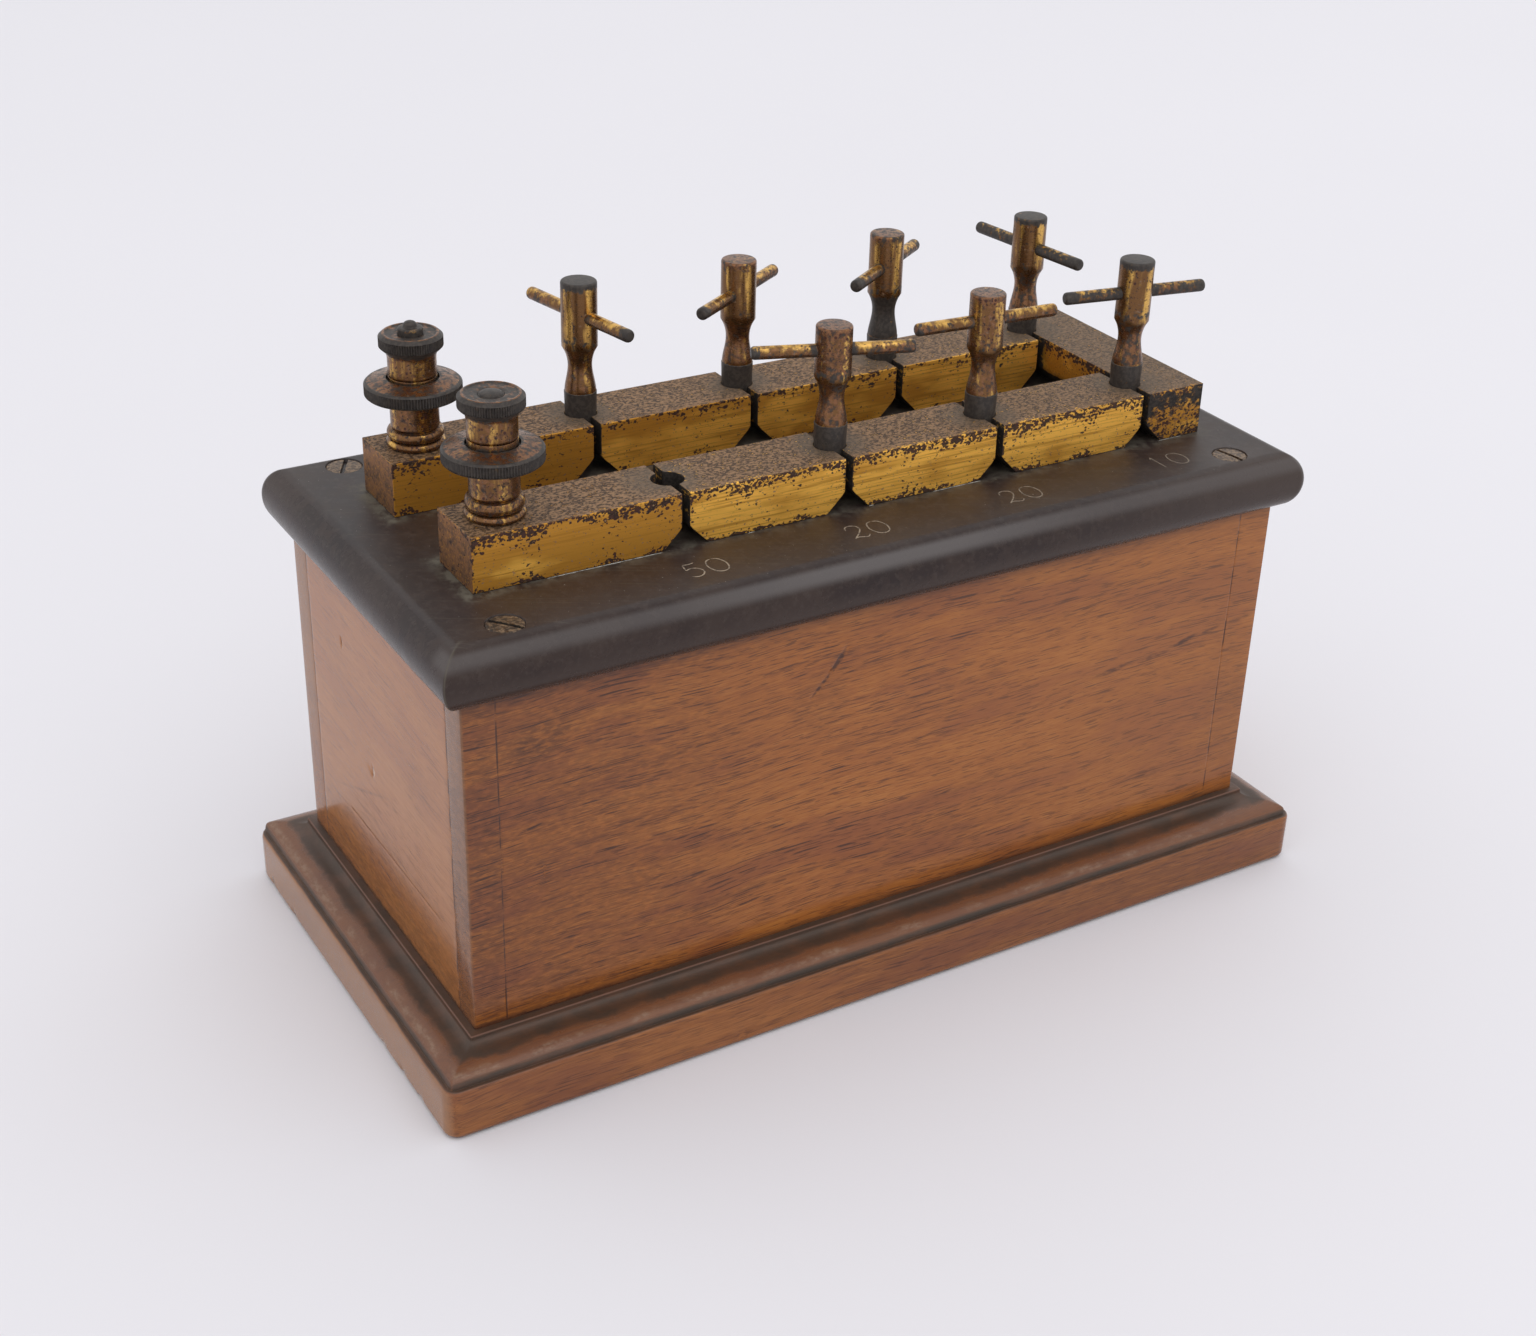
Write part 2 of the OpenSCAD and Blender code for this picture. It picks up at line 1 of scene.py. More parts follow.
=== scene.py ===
import math

import bmesh
import bpy
import numpy as np
from mathutils import Matrix, Vector


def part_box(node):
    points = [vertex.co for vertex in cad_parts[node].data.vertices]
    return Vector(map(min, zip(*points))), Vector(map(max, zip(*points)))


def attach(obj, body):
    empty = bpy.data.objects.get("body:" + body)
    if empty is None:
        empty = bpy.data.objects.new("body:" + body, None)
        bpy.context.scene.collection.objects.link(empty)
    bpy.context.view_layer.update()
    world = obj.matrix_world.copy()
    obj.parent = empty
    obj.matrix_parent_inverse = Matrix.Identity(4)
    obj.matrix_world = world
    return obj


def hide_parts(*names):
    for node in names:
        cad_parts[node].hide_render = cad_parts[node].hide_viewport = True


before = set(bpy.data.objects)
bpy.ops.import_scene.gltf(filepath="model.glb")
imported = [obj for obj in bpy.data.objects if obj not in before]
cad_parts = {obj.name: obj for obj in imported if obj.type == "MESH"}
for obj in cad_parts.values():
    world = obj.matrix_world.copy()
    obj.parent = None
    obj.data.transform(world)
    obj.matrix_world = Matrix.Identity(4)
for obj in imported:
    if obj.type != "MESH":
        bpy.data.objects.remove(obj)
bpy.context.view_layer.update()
mm = 0.001
weldGap = 0.004  # points closer than this many millimetres are merged

# Sizes in millimetres that more than one piece needs
shared = {
    "rowY": 19.35,  # from the middle of the case to each row of blocks
    "barHalf": 7.95,
    "wallHalf": 3.75,
    "screwHalf": 3.85,
    "wellReach": 5.0,  # closer steps run this far round a screw well
    "wellStep": 0.3,
}

# Camera: turned about the case, then rolled a little. The lens and the shift are in pixels of the picture
cameraView = {
    "azimuth": -31.734,
    "elevation": 28.815,
    "roll": 1.912,
    "distance": 509.344,
    "aimHeight": 50.0,
    "focalPixels": 2245.59,
    "shiftPixels": (20.375, 9.46),
    "pictureWidth": 1536,
    "sensorWidth": 36.0,
}


def placeCamera(view):
    # back points from the aim to the camera; right and up are turned about it by the roll
    azimuth, elevation, roll = [math.radians(view[k]) for k in ("azimuth", "elevation", "roll")]
    flat = math.cos(elevation)
    back = Vector((math.sin(azimuth) * flat, -math.cos(azimuth) * flat, math.sin(elevation)))
    right = Vector((math.cos(azimuth), math.sin(azimuth), 0))
    up = back.cross(right)
    rolledRight = right * math.cos(roll) + up * math.sin(roll)
    rolledUp = up * math.cos(roll) - right * math.sin(roll)
    data = bpy.data.cameras.new("camera")
    data.sensor_width = view["sensorWidth"]
    data.lens = view["focalPixels"] / view["pictureWidth"] * view["sensorWidth"]
    data.shift_x = -view["shiftPixels"][0] / view["pictureWidth"]
    data.shift_y = view["shiftPixels"][1] / view["pictureWidth"]
    data.clip_start = 0.01
    camera = bpy.data.objects.new("camera", data)
    bpy.context.scene.collection.objects.link(camera)
    place = Vector((0, 0, view["aimHeight"])) + back * view["distance"]
    turn = Matrix((rolledRight, rolledUp, back)).transposed().to_4x4()
    camera.matrix_world = Matrix.Translation(place * mm) @ turn
    bpy.context.scene.camera = camera


placeCamera(cameraView)
print("camera placed")


# Shader helpers: a Value is one output of a node, with plain arithmetic so that a finish reads as a formula

def fill(sockets, values):
    # a Value is linked to its socket, a number or a colour is set on the socket itself
    for key, value in values.items():
        socket = sockets[key]
        if isinstance(value, Value):
            socket.id_data.links.new(value.socket, socket)
        else:
            socket.default_value = (*value, 1) if socket.type == "RGBA" else value


def addNode(tree, kind, inputs, **settings):
    # settings come first, because some of them choose the sockets
    made = tree.nodes.new("ShaderNode" + kind)
    for key, value in settings.items():
        setattr(made, key, value)
    fill(made.inputs, inputs)
    return made


class Value:
    def __init__(self, socket):
        self.socket = socket

    def node(self, kind, inputs, output=0, **settings):
        # one output of a new node in the same tree
        return Value(addNode(self.socket.id_data, kind, inputs, **settings).outputs[output])

    def math(self, operation, *others):
        return self.node("Math", dict(enumerate((self, *others))), operation=operation)

    def __add__(self, other):
        return self.math("ADD", other)

    def __sub__(self, other):
        return self.math("SUBTRACT", other)

    def __rsub__(self, other):
        return self.math("MULTIPLY_ADD", -1.0, other)

    def __mul__(self, other):
        return self.math("MULTIPLY", other)

    def __abs__(self):
        return self.math("ABSOLUTE")

    def larger(self, other):
        return self.math("MAXIMUM", other)

    def clamped(self):
        return self.node("Clamp", {0: self})

    def smooth(self, low, high):
        # smooth step from 0 at low to 1 at high, which may be the smaller
        limits = {"Value": self, "From Min": low, "From Max": high}
        return self.node("MapRange", limits, interpolation_type="SMOOTHSTEP")

    def spread(self, low, high):
        # 0 to 1 becomes low to high
        return self.node("MapRange", {"Value": self, "To Min": low, "To Max": high})

    def ramp(self, stops):
        made = addNode(self.socket.id_data, "ValToRGB", {"Fac": self})
        marks = made.color_ramp.elements
        while len(marks) < len(stops):
            marks.new(0.5)
        for mark, (place, colour) in zip(marks, stops):
            mark.position = place
            mark.color = (*colour, 1)
        return Value(made.outputs[0])

    def axes(self):
        parts = addNode(self.socket.id_data, "SeparateXYZ", {0: self}).outputs
        return [Value(part) for part in parts]

    def layer(self, name):
        # a number that was painted on the piece's vertices
        return self.node("Attribute", {}, "Fac", attribute_name=name)

    def scaled(self, sizes):
        # places in units of that many millimetres along each axis
        return self.node("VectorMath", {0: self, 1: tuple(1 / (s * mm) for s in sizes)}, operation="MULTIPLY")

    def noise(self, sizes, detail=2.0, rough=0.5):
        # noise whose blots are about that many millimetres along each axis
        inputs = {"Vector": self.scaled(sizes), "Scale": 1.0, "Detail": detail, "Roughness": rough}
        return self.node("TexNoise", inputs)

    def pits(self, sizes, amount):
        # scattered discs: each cell has a number of its own, and its disc grows as the amount passes that number
        inputs = {"Vector": self.scaled(sizes), "Scale": 1.0}
        cells = addNode(self.socket.id_data, "TexVoronoi", inputs).outputs
        chance = self.node("SeparateColor", {0: Value(cells["Color"])})
        grown = (amount - chance).math("MINIMUM", 0.42)
        return (grown - Value(cells["Distance"])).smooth(-0.05, 0.05)

    def patchy(self, noise, swing, soft):
        # 0 to 1 with a ragged edge: the amount, moved by the noise, passes one half
        return ((noise - 0.5) * swing + self).smooth(0.5 - soft, 0.5 + soft)


def blend(share, first, second):
    # first at a share of 0, second at 1
    return share.node("Mix", {0: share, 6: first, 7: second}, 2, data_type="RGBA")


def newMaterial(name):
    # the material, its shader's sockets and the place on the object
    made = bpy.data.materials.new(name)
    made.use_nodes = True
    tree = made.node_tree
    return made, tree.nodes["Principled BSDF"].inputs, Value(addNode(tree, "TexCoord", {}).outputs["Object"])


def addBump(shader, height, strength, depth):
    # a height of 1 stands for that depth in millimetres
    bump = height.node("Bump", {"Height": height, "Strength": strength, "Distance": depth * mm})
    fill(shader, {"Normal": bump})


# Mesh helpers, all in millimetres until a piece is put in

cornerSigns = np.array([(-1, -1), (1, -1), (1, 1), (-1, 1)])


def boxOf(name):
    # low and high corner of a CAD node
    low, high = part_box(name)
    return np.array(low) / mm, np.array(high) / mm


blockTop = boxOf("front_block_2")[1][2]


def gridQuads(rows, columns, closed=False):
    # quads between neighbouring rows and columns; closed joins the last column to the first
    r, c = np.meshgrid(np.arange(rows - 1), np.arange(columns if closed else columns - 1), indexing="ij")
    n = (c + 1) % columns
    corners = [r * columns + c, r * columns + n, (r + 1) * columns + n, (r + 1) * columns + c]
    return np.stack(corners, -1).reshape(-1, 4)


def patch(points, closed=False):
    # a grid of points with its quads
    return points, gridQuads(points.shape[0], points.shape[1], closed)


def stations(low, high, step, *dense):
    # even steps from low to high, with closer steps inside each (low, high, step) stretch
    marks = [np.linspace(low, high, max(2, int(np.ceil((high - low) / step)) + 1))]
    for start, stop, fine in dense:
        marks[0] = marks[0][(marks[0] < start - fine / 2) | (marks[0] > stop + fine / 2)]
        marks.append(np.linspace(start, stop, int(np.ceil((stop - start) / fine)) + 1))
    together = np.concatenate(marks + [np.array([low, high])])
    together = np.unique(np.round(together[(together >= low) & (together <= high)], 5))
    return np.clip(together, low, high)


def wellSteps(middle):
    # a stretch of closer steps across a screw well
    return middle - shared["wellReach"], middle + shared["wellReach"], shared["wellStep"]


def innerShares(marks):
    # the marks between the ends, as shares of the way from the first to the last
    return ((marks - marks[0]) / (marks[-1] - marks[0]))[1:-1]


def ease(t):
    # smooth step: 3 t squared less 2 t cubed, held to 0 and 1
    t = np.clip(t, 0, 1)
    return t * t * (3 - 2 * t)


def bell(value, width):
    # exp(-(value / width) squared)
    return np.exp(-(value / width) ** 2)


def fade(value, length):
    # exp(-value / length), and 1 below zero
    return np.exp(-np.clip(value, 0, None) / length)


def wander(points, size, seed):
    # mean of eight sine waves about that long in seeded directions, near -1 to 1
    draw = np.random.default_rng(seed)
    waves = draw.normal(size=(8, points.shape[-1]))
    waves *= (2 * np.pi / size) * draw.uniform(0.6, 1.5, (8, 1)) / np.linalg.norm(waves, axis=1, keepdims=True)
    return 1.8 * np.sin(points @ waves.T + draw.uniform(0, 2 * np.pi, 8)).mean(-1)


def strokeDepth(a, b, strokes):
    # a dent along each short line (a0, b0, a1, b1, width, depth): depth times exp(-(distance / width) squared)
    total = np.zeros_like(a)
    for a0, b0, a1, b1, width, depth in strokes:
        runA, runB = a1 - a0, b1 - b0
        share = np.clip(((a - a0) * runA + (b - b0) * runB) / (runA ** 2 + runB ** 2), 0, 1)
        gap = (a - a0 - share * runA) ** 2 + (b - b0 - share * runB) ** 2
        total += depth * np.exp(-gap / width ** 2)
    return total


def softened(points, radii, steps=4):
    # an outline whose corners are curves (1-t)^2 start + 2t(1-t) corner + t^2 end, as far out as their radius
    points = np.array(points, float)
    t = np.linspace(0, 1, steps + 1)[:, None]
    rows = [points[:1]]
    for before, corner, after, radius in zip(points[:-2], points[1:-1], points[2:], radii[1:-1]):
        back, ahead = before - corner, after - corner
        start = corner + back * min(0.5, radius / np.linalg.norm(back))
        end = corner + ahead * min(0.5, radius / np.linalg.norm(ahead))
        curve = (1 - t) ** 2 * start + 2 * t * (1 - t) * corner + t ** 2 * end
        rows.append(curve if radius > 0 else corner[None])
    return np.concatenate(rows + [points[-1:]])


def lathe(outline, steps, centre, ripple=None):
    # outline rows (radius, height) turned about an upright axis; ripple is added to the radius
    angle = np.linspace(0, 2 * np.pi, steps, endpoint=False)
    radius = np.repeat(outline[:, :1], steps, 1)
    if ripple is not None:
        radius = radius + ripple(outline, angle)
    height = np.repeat(outline[:, 1:], steps, 1)
    points = np.stack([radius * np.cos(angle), radius * np.sin(angle), height], -1)
    return patch(points + np.array(centre), closed=True)


def ringSweep(outline, half, corner, shareX, shareY, turns=6):
    # outline rows (offset, height) carried round a rectangle, each corner a quarter circle of its own radius
    offset, height = outline.T
    centre = cornerSigns * (np.array(half) + offset[:, None, None] - corner[..., None])
    stops = []
    for k in range(4):
        angle = np.radians(180 + 90 * k) + np.linspace(0, np.pi / 2, turns + 1)
        spokes = np.stack([np.cos(angle), np.sin(angle)], -1)
        arc = centre[:, k, None] + corner[:, k, None, None] * spokes
        nextStart = centre[:, (k + 1) % 4] + corner[:, (k + 1) % 4, None] * spokes[-1]
        share = (shareX, shareY)[k % 2]
        share = share if k < 2 else 1 - share[::-1]
        side = arc[:, -1:] + share[None, :, None] * (nextStart[:, None] - arc[:, -1:])
        stops += [arc, side]
    ring = np.concatenate(stops, 1)
    level = np.repeat(height[:, None], ring.shape[1], 1)
    return np.concatenate([ring, level[..., None]], -1)


def fanCap(ring):
    # closes a flat ring towards its middle
    return patch(np.stack([ring, np.repeat(ring.mean(0, keepdims=True), len(ring), 0)]), closed=True)


def roundedLattice(stationsXyz, radius):
    # six faces of a box lattice; a point moves from the box shrunk by the radius to that radius along its own offset
    inset = radius * (1 - np.tan(np.radians([45, 30, 15, 0])))
    axes = []
    for s in stationsXyz:
        inner = s[(s > s[0] + 1.2 * radius) & (s < s[-1] - 1.2 * radius)]
        axes.append(np.concatenate([s[0] + inset, inner, s[-1] - inset[::-1]]))
    low = np.array([a[0] for a in axes]) + radius
    high = np.array([a[-1] for a in axes]) - radius
    patches = []
    for axis in range(3):
        u, v = [k for k in range(3) if k != axis]
        for end in (0, -1):
            points = np.empty((len(axes[u]), len(axes[v]), 3))
            points[..., axis] = axes[axis][end]
            points[..., u] = axes[u][:, None]
            points[..., v] = axes[v][None]
            inner = np.clip(points, low, high)
            away = points - inner
            away /= np.linalg.norm(away, axis=-1, keepdims=True)
            patches.append(patch(inner + radius * away))
    return patches


def wellFace(xs, ys, level, wells, radius, depth):
    # flat grid with round wells: points near a rim are drawn onto it, points inside go down by the depth
    X, Y = np.meshgrid(xs, ys, indexing="ij")
    drop = np.zeros_like(X)
    for x, y in wells:
        away = np.hypot(X - x, Y - y)
        nearRim = (np.abs(away - radius) < 0.2) & (away > 0)
        scale = np.where(nearRim, radius / np.maximum(away, 1e-6), 1)
        X, Y = x + (X - x) * scale, y + (Y - y) * scale
        drop = np.where(np.hypot(X - x, Y - y) < radius - 0.02, depth, drop)
    return np.stack([X, Y, level + drop], -1)


def makePiece(name, patches, body, replaced, material, crease=35.0):
    # joins the patches, merges doubles, turns the faces outwards and puts the piece on its body
    points = [p.reshape(-1, 3) for p, _ in patches]
    starts = np.cumsum([0] + [len(p) for p in points[:-1]])
    quads = np.concatenate([q + s for (p, q), s in zip(patches, starts)])
    mesh = bpy.data.meshes.new(name)
    mesh.from_pydata((np.concatenate(points) * mm).tolist(), [], quads.tolist())
    work = bmesh.new()
    work.from_mesh(mesh)
    bmesh.ops.remove_doubles(work, verts=work.verts, dist=weldGap * mm)
    bmesh.ops.dissolve_degenerate(work, edges=work.edges, dist=weldGap * mm)
    bmesh.ops.recalc_face_normals(work, faces=work.faces)
    work.to_mesh(mesh)
    work.free()
    mesh.shade_smooth()
    mesh.set_sharp_from_angle(angle=math.radians(crease))
    mesh.materials.append(material)
    piece = bpy.data.objects.new(name, mesh)
    bpy.context.scene.collection.objects.link(piece)
    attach(piece, body)
    if replaced:
        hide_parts(*replaced)
    return piece


def vertexArrays(piece):
    # places in millimetres and normals of the finished mesh
    count = len(piece.data.vertices)
    points, normals = np.empty(count * 3, np.float32), np.empty(count * 3, np.float32)
    piece.data.vertices.foreach_get("co", points)
    piece.data.vertices.foreach_get("normal", normals)
    return points.reshape(-1, 3) / mm, normals.reshape(-1, 3)


def paint(piece, **layers):
    # one number per vertex for each finish that the material looks up
    for name, values in layers.items():
        layer = piece.data.attributes.new(name, "FLOAT", "POINT")
        filled = np.broadcast_to(np.asarray(values, np.float32), (len(piece.data.vertices),))
        layer.data.foreach_set("value", np.ascontiguousarray(filled))


# Studio: a pale floor, an even pale surround, a wide lamp high in front and two weak ones at the sides
studio = {
    "floorColour": (0.80, 0.79, 0.83),
    "floorShade": 0.975,
    "floorReach": 3.0,
    "worldColour": (0.99, 0.99, 1.0),
    "worldStrength": 0.97,
    "lampSize": 1.3,
    "lamps": {
        "highFront": {"power": 3.8, "place": (0.0, -0.9, 1.6)},
        "frontLeft": {"power": 1.5, "place": (-1.2, -1.0, 0.9)},
        "right": {"power": 1.4, "place": (1.6, 0.2, 0.9)},
    },
}


def makeStudio(look):
    # the floor is one square a tenth of a millimetre below the object, and each lamp faces the middle of the floor
    mesh = bpy.data.meshes.new("floor")
    corners = [(*corner, -0.1 * mm) for corner in look["floorReach"] * cornerSigns]
    mesh.from_pydata(corners, [], [(0, 1, 2, 3)])
    material, shader, place = newMaterial("paleFloor")
    shade = tuple(c * look["floorShade"] for c in look["floorColour"])
    colour = blend(place.noise((300, 300, 300)), shade, look["floorColour"])
    fill(shader, {"Base Color": colour, "Roughness": 0.75, "Specular IOR Level": 0.2})
    mesh.materials.append(material)
    floor = bpy.data.objects.new("floor", mesh)
    bpy.context.scene.collection.objects.link(floor)
    world = bpy.data.worlds.new("surround")
    world.use_nodes = True
    sky = world.node_tree.nodes["Background"].inputs
    fill(sky, {"Color": look["worldColour"], "Strength": look["worldStrength"]})
    bpy.context.scene.world = world
    for name, lampLook in look["lamps"].items():
        data = bpy.data.lights.new(name, "AREA")
        data.energy = lampLook["power"]
        data.size = look["lampSize"]
        lamp = bpy.data.objects.new(name, data)
        bpy.context.scene.collection.objects.link(lamp)
        lamp.location = lampLook["place"]
        lamp.rotation_euler = (-Vector(lampLook["place"])).to_track_quat("-Z", "Y").to_euler()
    bpy.context.scene.view_settings.view_transform = "Standard"


makeStudio(studio)
print("floor, surround and lamps in place")

# Varnished mahogany, a paler copy of it for the end walls whose paleness is painted light, and a darker one for the
# plinth
mahogany = {
    "pale": (0.375, 0.138, 0.031),
    "mid": (0.295, 0.097, 0.0215),
    "dark": (0.180, 0.058, 0.018),
    "red": (0.200, 0.059, 0.023),
    "pore": (0.042, 0.017, 0.012),
    "poreShare": 0.85,
    "cloudSizes": (64, 22, 18),
    "redSizes": (36, 18, 9),
    "streakSizes": (42, 3.4, 1.9),
    "fineSizes": (5.5, 0.40, 0.27),
    "poreSizes": (10, 0.42, 0.34),
    "dashSizes": (4.2, 0.36, 0.28),
    "swaySizes": (60, 60, 40),
    "sway": 6.0,
    "rise": 0.012,
    "rough": 0.15,
}
litSideMahogany = dict(mahogany, pale=(0.385, 0.155, 0.046), mid=(0.345, 0.132, 0.038), dark=(0.290, 0.104, 0.031),
                    red=(0.31, 0.110, 0.035), poreShare=0.34, rise=0.06)
plinthMahogany = dict(mahogany, pale=(0.30, 0.112, 0.031), mid=(0.230, 0.080, 0.022), dark=(0.150, 0.053, 0.019),
                      red=(0.165, 0.051, 0.022), poreShare=0.6)


def mahoganyMaterial(name, look, alongY, extra):
    # fine lines and short pores along the board over soft streaks, with slow clouds of light and red; extra adds dirt
    material, shader, place = newMaterial(name)
    x, y, z = parts = place.axes()
    along, across = (y, x) if alongY else (x, y)
    sway = place.noise(look["swaySizes"], 1) - 0.5
    climb = sway * (look["sway"] * mm) + (along * -look["rise"] + z)
    board = place.node("CombineXYZ", {0: along, 1: across, 2: climb})
    cloud = board.noise(look["cloudSizes"], 2)
    redness = board.noise(look["redSizes"], 3)
    streak = board.noise(look["streakSizes"], 4, 0.6)
    fine = board.noise(look["fineSizes"], 3, 0.65)
    pore = board.noise(look["poreSizes"], 1)
    dash = board.noise(look["dashSizes"], 1)
    shade = fine * 0.62 + (streak * 0.28 + cloud * 0.30)
    colour = shade.ramp([(0.46, look["pale"]), (0.60, look["mid"]), (0.75, look["dark"])])
    colour = blend(redness.smooth(0.46, 0.64) * 0.6, colour, look["red"])
    dashMask = (streak * 0.4 + dash).smooth(0.80, 0.87) * 0.65
    poreMask = (redness * 0.35 + pore).smooth(0.83, 0.885).larger(dashMask)
    colour = blend(poreMask * look["poreShare"], colour, look["pore"])
    rough = fine * 0.10 + (look["rough"] - 0.05)
    colour, rough = extra(place, parts, colour, rough)
    fill(shader, {"Base Color": colour, "Roughness": rough, "IOR": 1.45})
    addBump(shader, fine * 0.6 - poreMask, 0.2, 0.05)
    return material


def blot(a, b, mark):
    # soft turned ellipse round (a, b), 1 in its middle; half lengths and turn are in the mark
    centreA, centreB, halfA, halfB, turn = mark
    c, s = math.cos(math.radians(turn)), math.sin(math.radians(turn))
    da, db = a - centreA * mm, b - centreB * mm
    u = da * (c / (halfA * mm)) + db * (s / (halfA * mm))
    v = db * (c / (halfB * mm)) - da * (s / (halfB * mm))
    return (u * u + v * v).smooth(1.0, 0.1)


# Walls: boards with eased outer corners, scribed lines near the front's ends, dents and a gouge. A stroke is
# (from, height, to, height, width, depth), a dark mark (place, height, half length, half height, turn, strength)
jointY = boxOf("left_end_wall")[1][1]
walls = {
    "outerEdge": 0.6,
    "jointEdge": 0.14,
    "step": 1.6,
    "wave": 0.05,
    "waveSize": 45,
    "faceReach": 0.7,
    "upDense": [(32.6, 34.4, 0.18), (47.5, 53, 0.35), (71, 84, 0.4)],
    "litRight": 0.24,
    "endGrain": (0.245, 0.120, 0.056),
    "scribedLine": (0.24, 0.06),
    "jointLine": (0.75, 0.15),
    # a pale mark at the left board's dent, partly a chip, partly painted highlight
    "chipAndHighlight": (4.4, 50.4, 0.8, 1.2, 20, 0.9),
    "chipAndHighlightTone": (0.56, 0.44, 0.34),
}
frontBoard = {
    "strokes": [
        (-91.0, 18.5, -90.8, 52, 0.16, 0.10), (-90.8, 52, -91.1, 88, 0.16, 0.13), (89.1, 24, 89.0, 56, 0.16, 0.10),
        (89.0, 56, 89.2, 89, 0.16, 0.12), (-13.6, 81.9, -17.1, 77.3, 0.55, 0.35), (-17.1, 77.3, -21.7, 72.4, 0.4, 0.3),
        (-81.9, 48.2, -81.9, 51, 0.25, 0.2),
    ],
    "dense": [(-92.2, -89.9, 0.13), (-83.2, -80.8, 0.2), (-23.5, -12, 0.35), (88, 90.2, 0.13)],
    "lines": (-91, 89.1),
    "dark": [
        # the first mark, a broad darkening towards the left end, is painted shade
        (-112, 52, 96, 90, 0, 0.36), (-94.5, 52, 4.5, 42, 0, 0.16), (-82, 79, 9, 5, 15, 0.32),
        (-84.6, 60.2, 3.2, 0.3, 12, 0.9), (-15.4, 79.6, 3.3, 0.8, 53, 1.2), (-19.4, 74.8, 3.6, 0.5, 47, 0.9),
        (57, 58.8, 7, 0.9, 8, 0.6), (69, 59.6, 5, 0.8, 4, 0.55), (77.5, 61.4, 4.5, 0.8, 14, 0.85),
        (84, 62.2, 4, 0.6, 10, 0.6), (93, 63.2, 5, 0.8, 5, 0.4), (63, 83.5, 2.5, 0.7, 10, 0.5),
        (71.8, 28.2, 6, 1.6, 8, 0.3), (53, 80.9, 3, 0.7, 4, 0.4), (92, 42, 9, 24, 10, 0.14),
        (20, 40, 26, 1.2, 4, 0.2), (-40, 30, 22, 1.6, 4, 0.22), (-55, 68, 18, 1.0, 5, 0.2),
        (-20, 70, 9, 9, 30, 0.18), (10, 66, 20, 0.9, 4, 0.2), (0, 89, 99, 5, 0, 0.12),
    ],
}
rearBoard = {
    "strokes": [],
    "dense": [],
    "lines": (),
    "dark": [
        (112, 52, 80, 90, 0, 0.22), (-30, 62, 24, 1.2, 4, 0.2), (36, 44, 20, 1.4, 4, 0.2), (0, 89, 99, 5, 0, 0.12),
        (-70, 36, 12, 9, 20, 0.14),
    ],
}
leftBoard = {
    "strokes": [
        (5.0, 51.5, 5.2, 49.6, 0.5, 0.2), (5.2, 49.6, 6.4, 50.6, 0.7, 0.15), (19.4, 33.4, -28.7, 33.6, 0.22, 0.08),
        (18.4, 73.6, 18.6, 75.6, 0.3, 0.2),
    ],
    "dense": [(3, 7.5, 0.3), (17.4, 19.8, 0.25)],
    "lines": (-jointY, jointY),
    "dark": [
        (-38, 52, 4, 40, 0, 0.18), (30, 88, 30, 6, 0, 0.12), (12, 42, 20, 0.5, -22, 0.3),
        # painted shade: the broad mark at (0, 12), darker towards the foot, and the small one at (5.1, 50.2) in the
        # dent
        (5.1, 50.2, 0.35, 1.3, 0, 0.8), (0, 12, 70, 30, 0, 0.36), (18.5, 74.6, 0.35, 1.0, 5, 0.7),
        (-20, 60, 12, 9, 30, 0.08), (22, 66, 9, 14, 0, 0.07),
    ],
}
rightBoard = {
    "strokes": [],
    "dense": [],
    "lines": (-jointY, jointY),
    "dark": [
        # painted shade: the broad mark at (0, 12), darker towards the foot
        (30, 88, 30, 6, 0, 0.12), (0, 12, 70, 30, 0, 0.30), (-14, 58, 14, 8, -20, 0.10), (16, 40, 9, 0.5, 12, 0.3),
    ],
}


def wallDarkening(look, board, isEnd):
    # darker where the wall meets the plinth and the panel, darker figure at the marks, some of them painted shade,
    # dark joints or scribed lines; a long board is paler to the right, painted light, and shows paler end grain, and
    # the left end has a pale chip, partly painted highlight
    low, high = boxOf("front_wall")

    def extra(place, parts, colour, rough):
        x, y, level = parts
        run = y if isEnd else x
        foot = level.smooth((low[2] + 1.6) * mm, (low[2] + 0.1) * mm)
        head = level.smooth((high[2] - 3.0) * mm, (high[2] - 0.2) * mm)
        darkening = head * 0.5 + foot * 0.7
        ragged = place.noise((2.2, 2.2, 0.8), 3, 0.6).smooth(0.36, 0.6).spread(0.35, 1.15)
        for *shape, strength in board["dark"]:
            darkening = blot(run, level, shape) * ragged * strength + darkening
        wide, core = look["jointLine" if isEnd else "scribedLine"]
        broken = place.noise((3, 3, 5), 3).smooth(0.40, 0.62)
        for middle in board["lines"]:
            darkening = abs(run - middle * mm).smooth(wide * mm, core * mm) * broken + darkening
        if not isEnd:
            endOn = abs(x).smooth((high[0] - 0.5) * mm, (high[0] - 0.1) * mm)
            fading = level.smooth(18 * mm, 70 * mm).spread(0.3, 0.7)
            # a long board is paler towards the right: painted light
            colour = blend(x.smooth(-30 * mm, 90 * mm) * look["litRight"], colour, mahogany["pale"])
            colour = blend(endOn * fading, colour, look["endGrain"])
        colour = blend(darkening.clamped() * 0.85, colour, mahogany["pore"])
        if isEnd:
            # a pale chip at the dent, partly painted highlight
            *shape, strength = look["chipAndHighlight"]
            chipAndHighlight = blot(y, level, shape) * x.smooth(0.0, -10 * mm)
            colour = blend(chipAndHighlight * strength, colour, look["chipAndHighlightTone"])
        return colour, rough
    return extra


